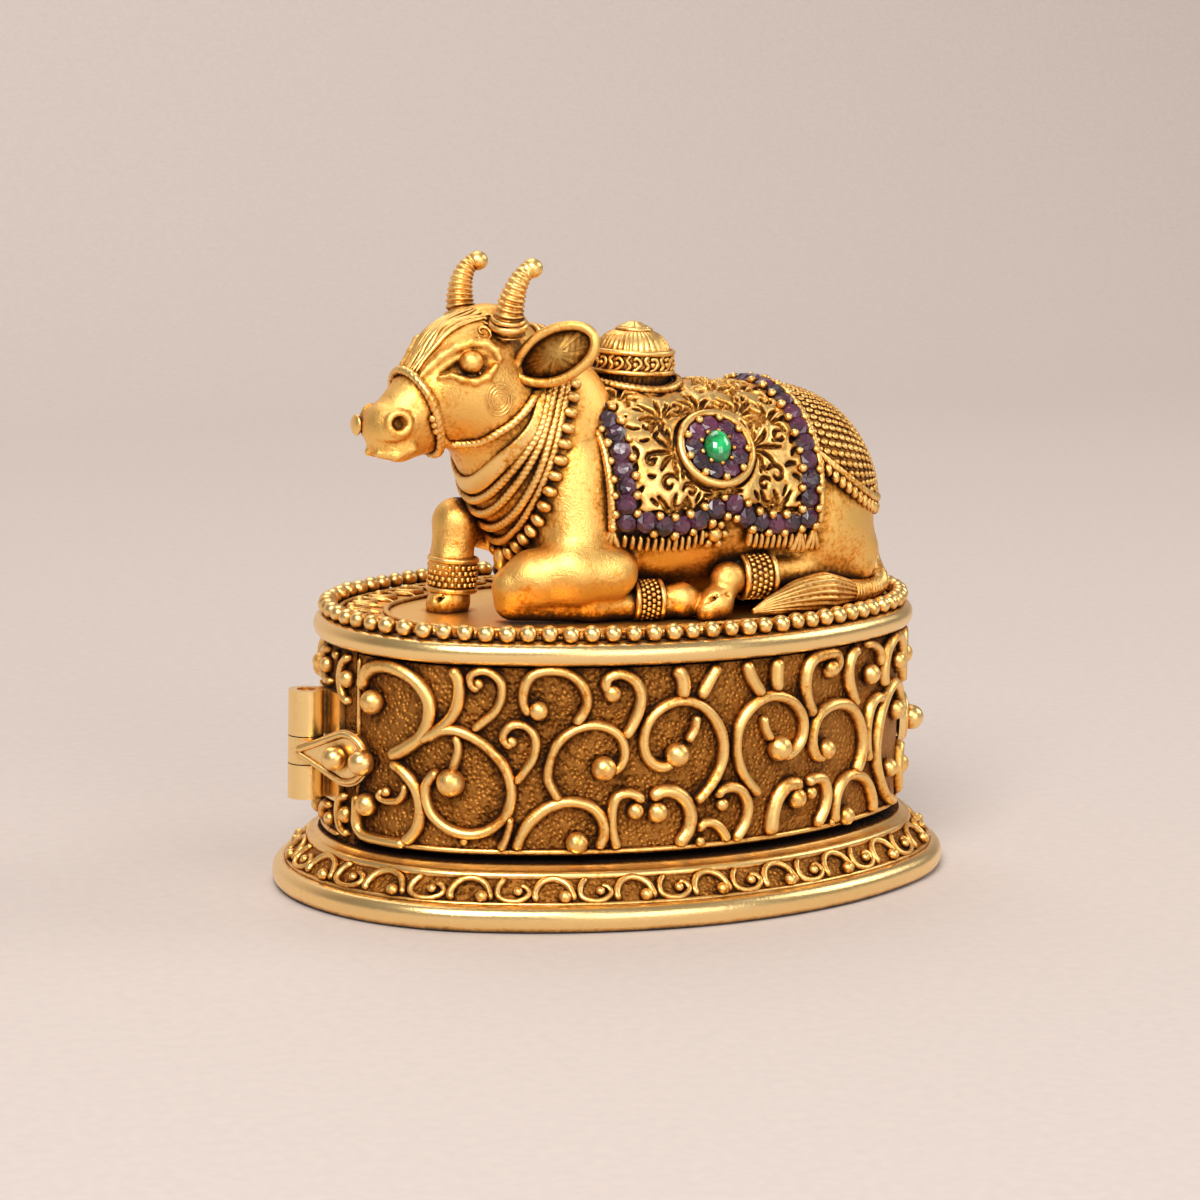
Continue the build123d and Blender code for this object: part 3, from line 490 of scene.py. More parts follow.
# Drum walls: raised scroll wires, as width and points, and balls, as run, height and radius
SCROLLS = [
    (1.05, [(3.7, 18.5), (4.0, 19.9), (5.3, 20.8), (7.2, 20.9), (9.1, 20.1), (10.3, 18.6), (10.4, 16.9),
        (9.8, 15.5), (8.8, 14.6), (7.6, 13.8), (6.7, 13.4)]),
    (0.95, [(12.2, 21.5), (12.9, 20.2), (12.8, 18.4), (12.2, 17.1), (11.2, 16.1), (10.1, 15.2)]),
    (0.7, [(14.7, 19.75), (14.0, 19.9), (13.85, 20.8), (14.6, 21.25), (15.5, 21.1), (16.3, 20.3),
        (16.4, 19.1), (15.9, 17.9), (15.0, 17.0), (14.0, 16.2)]),
    (0.85, [(9.6, 15.0), (10.8, 15.8), (12.4, 16.2), (14.2, 15.6), (15.9, 14.3), (17.0, 12.7),
        (17.35, 10.9), (16.9, 9.1), (15.6, 7.9), (13.9, 7.45), (12.1, 7.9), (10.7, 9.1), (10.2, 10.7),
        (10.6, 12.0), (11.5, 12.6)]),
    (0.7, [(12.6, 15.9), (12.95, 14.7), (12.6, 13.2), (12.4, 12.3)]),
    (0.72, [(17.5, 15.0), (16.8, 15.2), (16.6, 16.0), (17.3, 16.75), (18.4, 16.7), (19.2, 15.7),
        (19.15, 14.2), (18.4, 12.9), (17.5, 11.8)]),
    (0.8, [(18.8, 17.5), (18.25, 18.5), (18.2, 19.7), (18.8, 20.9), (20.2, 21.35), (21.8, 21.1),
        (23.0, 20.1), (23.45, 18.8), (23.1, 17.7), (22.4, 16.7)]),
    (0.75, [(25.5, 12.7), (26.3, 13.2), (26.7, 14.3), (26.4, 15.5), (25.4, 16.4), (24.0, 16.75),
        (22.5, 16.4), (21.2, 15.4), (20.5, 14.0), (20.3, 12.4), (20.8, 11.2), (21.4, 10.3)]),
    (0.85, [(25.5, 19.2), (25.0, 20.0), (25.2, 20.7), (26.2, 21.0), (27.4, 20.4), (28.0, 19.2),
        (27.8, 17.8), (27.3, 16.6), (26.6, 15.5)]),
    (0.85, [(31.0, 13.4), (30.2, 13.0), (29.2, 13.3), (28.5, 14.2), (28.3, 15.5), (28.7, 16.9),
        (29.8, 18.0), (31.3, 18.5), (33.0, 18.2), (34.5, 17.0), (35.45, 15.3), (35.6, 13.5), (35.0, 11.9),
        (34.1, 10.7), (33.0, 9.7)]),
    (0.7, [(33.0, 17.3), (32.8, 16.0), (32.1, 14.9)]),
    (1.1, [(31.0, 21.5), (31.7, 20.2), (31.7, 18.5)]),
    (0.95, [(35.0, 21.4), (34.2, 20.2), (33.2, 18.5)]),
    (0.9, [(6.9, 13.0), (8.2, 12.3), (9.3, 11.1), (9.8, 9.5), (9.6, 7.9), (9.0, 6.9), (8.2, 6.2)]),
    (0.6, [(6.3, 10.6), (5.95, 9.9), (6.7, 9.6), (7.8, 9.8), (8.4, 10.6), (8.35, 11.4)]),
    (0.8, [(3.3, 9.7), (3.25, 8.2), (3.3, 7.0), (4.2, 6.25), (6.2, 6.15), (8.6, 6.15)]),
    (0.9, [(17.8, 6.1), (18.1, 7.3), (19.0, 8.7), (20.5, 9.9), (22.3, 10.3), (24.0, 9.8), (25.0, 8.6),
        (25.1, 7.3), (24.5, 6.2)]),
    (0.7, [(17.2, 9.2), (17.2, 8.2), (16.9, 7.0), (16.4, 6.1)]),
    (0.85, [(26.3, 6.1), (25.8, 7.6), (25.7, 9.3), (26.1, 10.6), (27.1, 10.9), (28.0, 10.5), (28.25, 9.9)]),
    (1.05, [(31.5, 6.1), (32.5, 7.4), (32.7, 8.7), (32.2, 10.0), (31.1, 10.8), (29.9, 10.85), (29.0, 10.2)]),
    (0.75, [(33.2, 7.3), (34.0, 7.95), (35.0, 7.8), (35.8, 7.0), (36.3, 6.1)]),
    (0.85, [(35.1, 9.9), (35.5, 10.6), (36.6, 10.8), (37.6, 10.3), (38.2, 9.1), (38.0, 7.7), (37.4, 6.7),
        (36.8, 6.1)]),
    (0.85, [(39.4, 9.8), (38.4, 10.8), (37.4, 12.3), (36.9, 14.0), (37.1, 15.9), (38.2, 17.4),
        (39.8, 18.2), (41.4, 18.1), (43.0, 17.3), (44.0, 15.9), (43.9, 14.2), (43.0, 13.2), (41.8, 12.8)]),
    (0.7, [(39.5, 16.7), (39.8, 15.5), (40.5, 14.4)]),
    (1.0, [(37.6, 21.5), (38.3, 19.9), (39.5, 18.3)]),
    (1.15, [(41.0, 21.5), (40.9, 20.0), (41.0, 18.4)]),
    (1.05, [(46.5, 19.8), (47.5, 19.6), (48.2, 20.2), (47.9, 21.0), (46.6, 21.2), (45.2, 21.0),
        (44.4, 20.1), (44.2, 18.8), (44.5, 17.4), (45.3, 15.9)]),
    (0.9, [(47.0, 12.3), (45.9, 12.4), (45.3, 13.3), (45.2, 14.5), (45.8, 15.8), (47.1, 16.5),
        (48.6, 16.6), (50.1, 16.2), (51.3, 15.2), (52.1, 13.7), (52.3, 12.2), (51.9, 10.9), (51.2, 10.1)]),
    (0.95, [(51.3, 21.0), (50.4, 20.8), (49.8, 19.8), (49.9, 18.5), (50.4, 17.3), (51.1, 16.0)]),
    (0.7, [(52.2, 21.4), (53.6, 21.1), (54.8, 20.3), (55.0, 19.0)]),
    (1.25, [(40.8, 6.1), (40.9, 7.8), (41.4, 9.3), (42.4, 10.2), (43.4, 10.2), (44.0, 9.7)]),
    (0.9, [(44.6, 10.1), (45.6, 10.5), (46.8, 10.2), (47.3, 9.0), (47.0, 7.6), (46.0, 6.2)]),
    (0.85, [(48.6, 6.1), (48.4, 7.4), (48.8, 9.0), (50.0, 10.0), (51.7, 9.9), (53.2, 9.1), (54.2, 7.6),
        (54.5, 6.1)]),
    (0.8, [(53.4, 10.8), (52.9, 12.4), (52.9, 14.2), (53.5, 15.7), (54.7, 16.3), (55.8, 15.9)]),
    (0.9, [(59.2, 6.2), (57.0, 7.2), (55.5, 9.0), (54.7, 11.0), (54.8, 13.0), (55.4, 14.8), (56.6, 16.4),
        (58.2, 17.0), (59.6, 16.2), (59.9, 14.7), (59.0, 13.6)]),
    (0.9, [(56.0, 17.0), (55.7, 18.6), (56.2, 20.2), (57.6, 21.1), (59.4, 21.0), (60.6, 19.8),
        (60.4, 18.4), (59.3, 18.0)]),
    (0.8, [(67.0, 18.2), (66.6, 20.0), (65.2, 20.9), (63.4, 20.7), (62.2, 19.4), (61.9, 17.8), (62.6, 16.3)]),
    (0.8, [(67.1, 7.0), (66.0, 6.3), (64.0, 6.3), (62.2, 7.1), (61.3, 8.7), (61.7, 10.3), (62.8, 10.9)]),
]
BALLS = [
    (5.1, 17.8, 1.0), (14.45, 20.15, 0.5), (12.4, 11.8, 1.15), (17.25, 15.35, 0.5), (19.4, 18.0, 0.8),
    (24.9, 13.1, 1.0), (25.5, 19.4, 0.72), (31.2, 14.0, 1.0), (4.6, 9.0, 0.95), (6.5, 10.3, 0.45),
    (22.8, 6.85, 0.9), (27.7, 9.4, 0.7), (29.6, 9.2, 0.85), (33.6, 6.4, 0.45), (35.6, 9.4, 0.55),
    (41.2, 13.7, 1.05), (47.3, 19.9, 0.7), (46.8, 12.9, 0.85), (53.1, 18.6, 0.85), (43.4, 9.1, 0.85),
    (45.2, 9.3, 0.55), (49.9, 6.6, 0.8), (58.6, 14.6, 0.8), (59.0, 18.9, 0.7), (64.2, 18.6, 0.9),
    (64.0, 8.6, 0.9), (57.3, 9.6, 0.8), (13.5, 6.85, 0.35), (48.2, 6.3, 0.35),
]
SIDE_SCROLLS = [
    (0.7, [(1.9, 21.2), (0.9, 20.4), (0.5, 19.0), (1.0, 17.6), (2.0, 17.2)]),
    (0.7, [(2.1, 5.9), (1.0, 6.2), (0.4, 7.3), (0.6, 8.6), (1.7, 9.2)]),
    (0.7, [(-1.5, 18.4), (-2.8, 18.3), (-3.9, 19.3), (-3.6, 20.7), (-2.2, 21.1)]),
    (0.7, [(-1.4, 7.6), (-2.6, 7.7), (-3.9, 6.9), (-4.2, 5.9)]),
]
SIDE_BALLS = [(1.7, 19.2, 0.75), (1.8, 7.6, 0.75), (-2.4, 19.7, 0.7), (-1.4, 6.6, 0.6), (-0.4, 20.9, 0.45)]

# On the far wall, the scrolls beside the hinge
HINGE_SCROLLS = [
    (0.95, [(7.6, 17.6), (7.4, 18.9), (8.2, 20.2), (9.6, 20.5), (10.9, 19.6), (11.3, 18.0), (10.6, 16.4),
        (9.4, 15.4)]),
    (0.9, [(9.6, 14.9), (8.6, 13.9), (7.7, 12.6)]),
    (0.95, [(7.6, 8.6), (7.5, 7.4), (8.6, 6.5), (9.6, 7.4), (9.9, 9.0), (9.4, 10.8), (8.2, 12.0)]),
]
HINGE_BALLS = [(8.9, 18.3, 0.95), (8.3, 9.3, 0.7), (5.6, 19.4, 0.8), (5.4, 7.0, 0.8)]

WIRE_GROW, WIRE_RISE, BALL_GROW = 1.22, 0.85, 1.05
PAST_HINGE = 7.0  # the far wall repeats only what lies beyond this run
SEAM_RUN = 2.98

front_scrolls, rear_scrolls = Heap(), Heap()
near_wall, far_wall = wall_surface(-1), wall_surface(1)
for width, points in SCROLLS:
    wire_on(front_scrolls, near_wall, points, width * WIRE_GROW, WIRE_RISE, 10, 0.2)
    if min(points)[0] > PAST_HINGE:
        wire_on(rear_scrolls, far_wall, points, width * WIRE_GROW, WIRE_RISE, 10, 0.24)
for u, v, radius in BALLS:
    ball_on(front_scrolls, near_wall, (u, v), radius * BALL_GROW, 0.45)
    if u > PAST_HINGE:
        ball_on(rear_scrolls, far_wall, (u, v), radius * BALL_GROW, 0.45, fine=8)
for width, points in HINGE_SCROLLS:
    wire_on(rear_scrolls, far_wall, points, width * WIRE_GROW, WIRE_RISE, 10, 0.24)
for u, v, radius in HINGE_BALLS:
    ball_on(rear_scrolls, far_wall, (u, v), radius, 0.45, fine=8)
for width, points in SIDE_SCROLLS:
    wire_on(rear_scrolls, near_wall, points, width * 1.2, 0.7, 10, 0.2)
for u, v, radius in SIDE_BALLS:
    ball_on(rear_scrolls, near_wall, (u, v), radius, 0.4)
left, right, half = SEAM_RUN, HALF_RUN - SEAM_RUN, HALF_RUN / 2
wire_on(front_scrolls, near_wall, [(left + 0.2, 6.0), (half, 6.0), (right - 0.2, 6.0)], 0.5, 0.3, 8, 0.5)
wire_on(rear_scrolls, far_wall, [(0, 5.45), (half, 5.45), (HALF_RUN, 5.45)], 0.6, 0.3, 8, 0.5)
for u in (left + 0.1, right - 0.1):
    wire_on(front_scrolls, near_wall, [(u, 6.0), (u, 13.0), (u, 21.3)], 0.42, 0.28, 8, 0.4)
front_scrolls.make("front_scrolls", relief_gold, body="tray")
rear_scrolls.make("rear_scrolls", relief_gold)

# Deck: polished band, ring of beads and a low relief inside it

band = Heap()
half, middle = (DECK_TOP - DECK_BOTTOM) / 2, (DECK_TOP + DECK_BOTTOM) / 2
profile = [(0.0, DECK_BOTTOM)]
profile += [(BAND_GROW - 0.8 + 0.8 * cos(a), middle + half * sin(a)) for a in np.linspace(-1.5, 1.5, 13)]
oval_ring(band, profile + [(0.0, DECK_TOP)])
band.make("band_polished", polished_gold, ["deck_band"], slot="polished_gold")

beads = Heap()
for index in range(BEAD_COUNT):
    x, y, nx, ny = oval_at(2 * HALF_RUN * (index + 0.5) / BEAD_COUNT, -0.1)
    size = BEAD_RADIUS * (1 + 0.03 * rng.normal())
    shift = rng.normal(size=3) * 0.03
    centre = np.array([float(x), float(y), DECK_TOP + BEAD_RADIUS - 0.1]) + shift
    radii = (size, size * (0.97 + 0.05 * rng.random()), min(size * 0.97, BEAD_RADIUS))
    ball(beads, centre, radii, axes_from((0, 0, 1), (float(nx), float(ny), 0)), 9)
beads.make("bead_ring", smooth_gold, ["deck_beads"], slot="polished_gold")


def deck_surface(uv):
    """The deck. The second coordinate is mm inwards from the wall."""
    x, y, nx, ny = oval_at(uv[:, 0])
    spots = np.stack([x - nx * uv[:, 1], y - ny * uv[:, 1], 0 * x + DECK_TOP], 1)
    return spots, np.stack([0 * x, 0 * x, 0 * x + 1], 1)


deck_relief = Heap()
row_of(deck_relief, deck_surface, DECK_SCROLLS, [
    ([(0.1, 1.5), (0.2, 2.7), (1.1, 3.5), (2.2, 3.2), (2.7, 2.3), (2.3, 1.7)], 0.6, 0.5, 8, 0.25),
    ((1.5, 2.2), 0.55, 0.3),
    ([(3.2, 1.3), (3.3, 2.4), (2.9, 3.7), (3.4, 4.7)], 0.7, 0.45, 8, 0.25, (0.4, 0.4)),
])
for inset in (1.05, 5.1):
    x, y, nx, ny = oval_at(np.linspace(0, 2 * HALF_RUN, 300, endpoint=False), -inset)
    rope_3d(deck_relief, np.stack([x, y, 0 * x + DECK_TOP + 0.1], 1), 0.24, 1.0, True, 8, 0.3)
deck_relief.make("deck_relief", relief_gold)

# Hinge leaf and clasp tongue: a raised rim round each teardrop, and two balls on it

leaf_direction, leaf_normal = np.array([0.5, -0.866, 0]), np.array([-0.866, -0.5, 0])
leaf_origin = np.array([*HINGE, LEAF_Z]) + leaf_normal * 1.5


def leaf_surface(uv):
    spots = leaf_origin + leaf_direction * uv[:, :1] + np.array([0, 0, 1.0]) * uv[:, 1:]
    return spots, np.broadcast_to(leaf_normal, spots.shape)


def tongue_surface(uv):
    """Right end of the drum, at the clasp tongue's outer face: y leftwards from the tip, and z."""
    y = 1.4 - uv[:, 0]
    reach = END_RADIUS + 0.95
    angle = np.arcsin(np.clip(y / reach, -1, 1))
    spots = np.stack([END_X + reach * np.cos(angle), reach * np.sin(angle), LEAF_Z + uv[:, 1]], 1)
    return spots, np.stack([np.cos(angle), np.sin(angle), 0 * angle], 1)


def teardrop_rim(heap, surface, tip, centre, radius=2.4, inset=0.42):
    """A raised wire just inside a teardrop's edge."""
    inner = radius - inset
    reach = centre - tip - inset * 1.6
    start = atan2(inner * sqrt(1 - (inner / reach) ** 2), -(inner**2) / reach)
    arc = [(centre + inner * cos(a), inner * sin(a)) for a in np.linspace(start, -start, 15)]
    wire_on(heap, surface, [(centre - reach, 0.05)] + arc + [(centre - reach, -0.05)], 0.6, 0.28, 8, 0.2)


for name, surface, tip, centre, balls, node in (
    ("leaf_rim", leaf_surface, -0.6, 5.1, (4.4, 7.2), "leaf_balls"),
    ("tongue_rim", tongue_surface, 0.0, 6.0, (4.0, 7.0), "clasp_balls"),
):
    heap = Heap()
    teardrop_rim(heap, surface, tip, centre)
    for u, radius in zip(balls, (1.05, 1.12)):
        ball_on(heap, surface, (u, 0), radius, 0.6, fine=14)
    heap.make(name, smooth_gold, [node], "tray", "polished_gold")

# Bull: distance functions of simple forms, blended


def ellipsoid(p, centre, radii, tilt=0.0):
    """Distance to an ellipsoid whose first axis is tilted up from +X by this angle."""
    q = p - np.asarray(centre, np.float32)
    if tilt:
        c, s = cos(radians(tilt)), sin(radians(tilt))
        q = np.stack([q[:, 0] * c + q[:, 2] * s, q[:, 1], -q[:, 0] * s + q[:, 2] * c], 1)
    radii = np.asarray(radii, np.float32)
    near = np.linalg.norm(q / radii, axis=1)
    return near * (near - 1) / np.maximum(np.linalg.norm(q / radii**2, axis=1), 1e-6)


def cone(p, start, end, start_radius, end_radius):
    """Distance to a round run between two points."""
    start, run = np.asarray(start, np.float32), np.asarray(end, np.float32) - np.asarray(start, np.float32)
    t = np.clip((p - start) @ run / float(run @ run), 0, 1)
    radius = start_radius + (end_radius - start_radius) * t
    return np.linalg.norm(p - start - t[:, None] * run, axis=1) - radius


def blend(a, b, k):
    h = np.clip(k - np.abs(a - b), 0, None) / k
    return np.minimum(a, b) - h * h * k * 0.25


def carve(a, b, k):
    return -blend(-a, b, k)


def chain(p, joints, k=0.8):
    """Distance to runs through these joints, each a place and a radius."""
    found = None
    for a, b in zip(joints, joints[1:]):
        d = cone(p, a[:3], b[:3], a[3], b[3])
        found = d if found is None else blend(found, d, k)
    return found


def both(p, side):
    """The points as the near side sees them."""
    return p if side < 0 else p * np.array([1, -1, 1], np.float32)


def barrel(p):
    """Trunk without legs or neck."""
    d = ellipsoid(p, (5.9, 0, 33.05), (16.6, 9.9, 9.45))
    d = blend(d, ellipsoid(p, (15.0, 0, 32.4), (8.6, 9.65, 9.3)), 2.0)
    d = blend(d, ellipsoid(p, (-1.4, 0, 33.4), (7.4, 9.1, 9.2)), 2.0)
    return carve(d, ellipsoid(p, (0.6, 0, 45.2), (5.0, 6.6, 3.7)), 0.8)


def torso(p):
    """Trunk and chest without legs."""
    d = blend(barrel(p), ellipsoid(p, (-6.9, 0, 35.6), (5.4, 6.7, 7.8), -25), 2.0)
    d = blend(d, ellipsoid(p, (-6.6, 0, 31.0), (4.4, 4.8, 5.4), 10), 2.0)
    d = blend(d, cone(p, (-7.6, -4.4, 37.0), (-7.6, -5.9, 30.0), 2.7, 3.0), 2.0)
    return blend(d, cone(p, (-7.6, 4.4, 36.0), (-7.4, 5.4, 30.0), 2.7, 2.9), 2.0)


# Joints as place and radius, and how softly each part blends: forelegs, near then far, and hind legs
LEGS = [
    ([(-5.4, -7.8, 28.0, 2.5), (-8.6, -6.9, 28.0, 2.8), (-11.6, -5.9, 27.4, 2.35), (-13.1, -5.3, 26.7, 1.9)],
     0.6),
    ([(-13.0, -4.9, 25.4, 1.6), (-6.5, -6.8, 25.1, 1.45), (0.4, -8.1, 25.0, 1.3)], 0.4),
    ([(-6.0, 6.0, 29.6, 2.8), (-10.4, 4.8, 30.8, 2.3), (-14.2, 3.4, 31.2, 1.95)], 0.8),
    ([(-14.4, 3.3, 31.1, 1.95), (-14.9, 3.0, 27.6, 1.75), (-15.0, 2.8, 25.4, 1.6)], 0.6),
]
HIND_LEGS = [
    ([(17.2, -6.6, 30.2, 2.6), (20.0, -6.4, 28.1, 2.0), (19.6, -6.9, 27.1, 1.75)], 1.2),
    ([(19.6, -6.9, 27.0, 1.7), (13.0, -8.4, 27.2, 1.45), (7.4, -9.2, 26.9, 1.4)], 0.5),
]


def trunk(p):
    """Torso and legs."""
    d = torso(p)
    for joints, k in LEGS:
        d = blend(d, chain(p, joints), k)
    for side in (-1, 1):
        q = both(p, side)
        d = blend(d, ellipsoid(q, (15.8, -5.0, 30.6), (6.2, 5.0, 6.0), -35), 1.4)
        for joints, k in HIND_LEGS:
            d = blend(d, chain(q, joints), k)
    return d


def hooves(p):
    """Lower ends of the four legs."""
    d = chain(p, [(-14.9, 2.9, 25.6, 1.5), (-15.2, 2.7, 24.5, 1.7), (-15.9, 2.5, 24.0, 1.4)], 0.6)
    d = carve(d, cone(p, (-18.0, 1.7, 24.6), (-15.4, 1.7, 24.9), 0.22, 0.2), 0.2)
    near_tip = chain(p, [(0.2, -8.1, 25.3, 1.2), (1.4, -8.4, 25.2, 1.45), (2.6, -8.7, 24.9, 1.1)], 0.5)
    d = np.minimum(d, near_tip)
    for side in (-1, 1):
        q = both(p, side)
        fetlock = cone(q, (5.4, -9.3, 27.0), (5.2, -9.4, 26.8), 1.45, 1.4)
        fetlock = blend(fetlock, cone(q, (7.4, -9.2, 26.9), (5.4, -9.3, 27.0), 1.2, 1.2), 0.4)
        toe = chain(q, [(4.9, -9.6, 26.0, 1.15), (3.9, -9.9, 24.9, 1.45), (3.0, -10.1, 24.4, 1.0)], 0.5)
        toe = carve(toe, cone(q, (1.6, -10.6, 25.2), (4.6, -10.9, 25.9), 0.2, 0.16), 0.2)
        d = np.minimum(d, blend(fetlock, toe, 0.25))
    return d


def to_head(p):
    """Points as the head sees them before it is turned towards the viewer."""
    x, y, c, s = p[:, 0] - HEAD_PIVOT_X, p[:, 1], cos(HEAD_TURN), sin(HEAD_TURN)
    return np.stack([HEAD_PIVOT_X + x * c + y * s, -x * s + y * c, p[:, 2]], 1)


def from_head(p):
    p = np.asarray(p, float).reshape(-1, 3)
    x, y, c, s = p[:, 0] - HEAD_PIVOT_X, p[:, 1], cos(HEAD_TURN), sin(HEAD_TURN)
    return np.stack([HEAD_PIVOT_X + x * c - y * s, x * s + y * c, p[:, 2]], 1)


def neck(p):
    d = ellipsoid(p, (-7.6, 0, 36.9), (5.8, 6.8, 7.8), -30)
    d = blend(d, ellipsoid(p, (-9.4, 0, 39.8), (5.8, 5.7, 7.4), -33), 2.0)
    return blend(d, ellipsoid(p, (-12.2, 0, 42.6), (4.9, 4.7, 6.2), -30), 2.0)


def skull(q):
    """Head before it is turned, without its fine features."""
    d = ellipsoid(q, (-14.9, 0, 44.3), (4.8, 4.55, 5.2), 28)
    d = blend(d, cone(q, (-16.7, 0, 44.2), (-22.6, 0, 40.3), 3.9, 2.3), 1.4)
    d = blend(d, cone(q, (-16.2, 0, 46.6), (-22.0, 0, 42.2), 1.6, 0.8), 1.4)
    d = blend(d, ellipsoid(q, (-13.8, 0, 48.2), (2.4, 3.0, 1.9), 28), 1.2)
    d = blend(d, ellipsoid(q, (-23.2, 0, 40.0), (2.0, 2.65, 2.15), 30), 0.8)
    return blend(d, cone(q, (-16.9, 0, 41.2), (-21.9, 0, 38.7), 2.8, 1.45), 1.2)


UPPER_LID = [
    (-21.6, -1.6, 44.0, 0.2), (-20.5, -1.9, 45.1, 0.34), (-19.5, -2.3, 46.1, 0.42), (-18.4, -3.0, 46.95, 0.46),
    (-17.2, -3.4, 47.3, 0.48), (-16.0, -3.9, 47.2, 0.46), (-15.4, -4.3, 46.7, 0.4), (-15.15, -4.6, 46.0, 0.28),
]
LOWER_LID = [
    (-19.9, -2.8, 44.5, 0.16), (-19.1, -3.5, 44.7, 0.24), (-18.5, -4.1, 44.4, 0.3),
    (-17.5, -4.6, 44.2, 0.32), (-16.4, -4.8, 44.6, 0.3), (-15.6, -4.8, 45.5, 0.22),
]


def torus(p, centre, normal, radius, thick):
    """Distance to a ring that lies across this normal."""
    q = p - np.asarray(centre, np.float32)
    normal = unit(normal).astype(np.float32)
    height = q @ normal
    flat = np.linalg.norm(q - height[:, None] * normal, axis=1)
    return np.hypot(flat - radius, height) - thick

EYE = [(-19.7, -2.8, 44.7, 0.25), (-17.6, -4.3, 45.7, 1.1), (-15.7, -4.7, 46.0, 0.3)]
MOUTH = [
    (-25.7, -0.1, 39.1, 0.3), (-24.9, -1.5, 38.9, 0.34), (-23.6, -2.4, 38.85, 0.38), (-22.4, -2.8, 39.4, 0.34),
    (-21.0, -2.95, 40.1, 0.2),
]
LIP = [(-24.5, -0.8, 38.1, 0.35), (-23.4, -1.7, 37.95, 0.42), (-22.0, -2.1, 38.6, 0.4)]


def head(p):
    """Neck, and the turned head with its features."""
    q = to_head(p)
    d = skull(q)
    for side in (-1, 1):
        s = both(q, side)
        d = blend(d, ellipsoid(s, (-15.6, -2.6, 43.0), (3.3, 2.1, 3.7), 30), 1.2)
        d = carve(d, chain(s, EYE, 0.2), 0.3)
        d = blend(d, chain(s, UPPER_LID, 0.2), 0.25)
        d = blend(d, chain(s, LOWER_LID, 0.2), 0.2)
        d = blend(d, cone(s, (-17.45, -3.8, 45.75), (-17.44, -3.8, 45.75), 1.02, 1.02), 0.1)
        d = blend(d, torus(s, (-23.5, -2.35, 40.8), (-0.35, -0.93, 0.1), 0.85, 0.34), 0.25)
        d = carve(d, ellipsoid(s, (-23.65, -2.75, 40.8), (0.55, 1.0, 0.55)), 0.2)
        d = carve(d, ellipsoid(s, (-22.25, -2.75, 42.0), (0.3, 0.5, 0.75)), 0.25)
        d = carve(d, chain(s, MOUTH, 0.2), 0.2)
        d = blend(d, chain(s, LIP, 0.2), 0.5)
    d = carve(d, cone(q, (-26.0, 0, 41.4), (-25.5, 0, 39.2), 0.25, 0.2), 0.3)
    return blend(d, neck(p), 1.6)


def turned_head(q):
    """The head, for points as it sees them before it is turned."""
    return head(from_head(q).astype(np.float32))


def slope(f, p, reach=0.04):
    """Outward direction and value of a distance function."""
    value = f(p)
    parts = [f(p + np.array(step, np.float32) * reach) - value for step in ((1, 0, 0), (0, 1, 0), (0, 0, 1))]
    return unit(np.stack(parts, 1)), value


def sculpt(heap, f, low, high, step):
    """Add the surface where this distance function is zero."""
    axes = [np.arange(a, b + step, step, dtype=np.float32) for a, b in zip(low, high)]
    shape = [len(a) for a in axes]
    field = np.empty(shape, np.float32)
    for first in range(0, shape[0], 12):
        block = np.stack(np.meshgrid(axes[0][first : first + 12], axes[1], axes[2], indexing="ij"), -1)
        field[first : first + 12] = f(block.reshape(-1, 3)).reshape(block.shape[:3])
    inside = field < 0
    cells = np.zeros([n - 1 for n in shape], np.int32)
    for i, j, k in np.ndindex(2, 2, 2):
        cells += inside[i : shape[0] - 1 + i, j : shape[1] - 1 + j, k : shape[2] - 1 + k]
    active = (cells > 0) & (cells < 8)
    spots = np.argwhere(active)
    order = -np.ones(active.shape, np.int64)
    order[tuple(spots.T)] = np.arange(len(spots))
    total, weight = np.zeros((len(spots), 3)), np.zeros(len(spots))
    for axis in range(3):
        others = [a for a in range(3) if a != axis]
        for i, j in np.ndindex(2, 2):
            corner = spots.copy()
            corner[:, others[0]] += i
            corner[:, others[1]] += j
            nearer = field[tuple(corner.T)]
            further = corner.copy()
            further[:, axis] += 1
            beyond = field[tuple(further.T)]
            crossing = (nearer < 0) != (beyond < 0)
            share = nearer / np.where(crossing, nearer - beyond, 1)
            place = corner.astype(float)
            place[:, axis] += share
            total[crossing] += place[crossing]
            weight[crossing] += 1
    points = (total / weight[:, None] * step + np.array([a[0] for a in axes])).astype(np.float32)
    for _ in range(2):
        outward, value = slope(f, points)
        points = points - outward * np.clip(value, -step / 2, step / 2)[:, None] * 0.9
    quads = []
    for axis in range(3):
        one, two = [a for a in range(3) if a != axis]
        fore = [slice(None)] * 3
        back = [slice(None)] * 3
        fore[axis], back[axis] = slice(0, -1), slice(1, None)
        change = inside[tuple(fore)] != inside[tuple(back)]
        at = np.argwhere(change)
        end_one, end_two = shape[one] - 1, shape[two] - 1
        at = at[(at[:, one] > 0) & (at[:, two] > 0) & (at[:, one] < end_one) & (at[:, two] < end_two)]
        ring = []
        for i, j in ((1, 1), (0, 1), (0, 0), (1, 0)):
            cell = at.copy()
            cell[:, one] -= i
            cell[:, two] -= j
            ring.append(order[tuple(cell.T)])
        ring = np.stack(ring, 1)
        outwards = inside[tuple(at.T)]
        if axis == 1:
            outwards = ~outwards
        quads.append(np.where(outwards[:, None], ring, ring[:, ::-1]))
    heap.add(points, np.concatenate(quads))


def settle(f, points, level=0.0):
    """Move points onto the surface at this level. Also gives its outward directions."""
    points = np.asarray(points, np.float32)
    for _ in range(5):
        outward, value = slope(f, points)
        points = points - outward * (value - level)[:, None]
    return points, slope(f, points)[0]


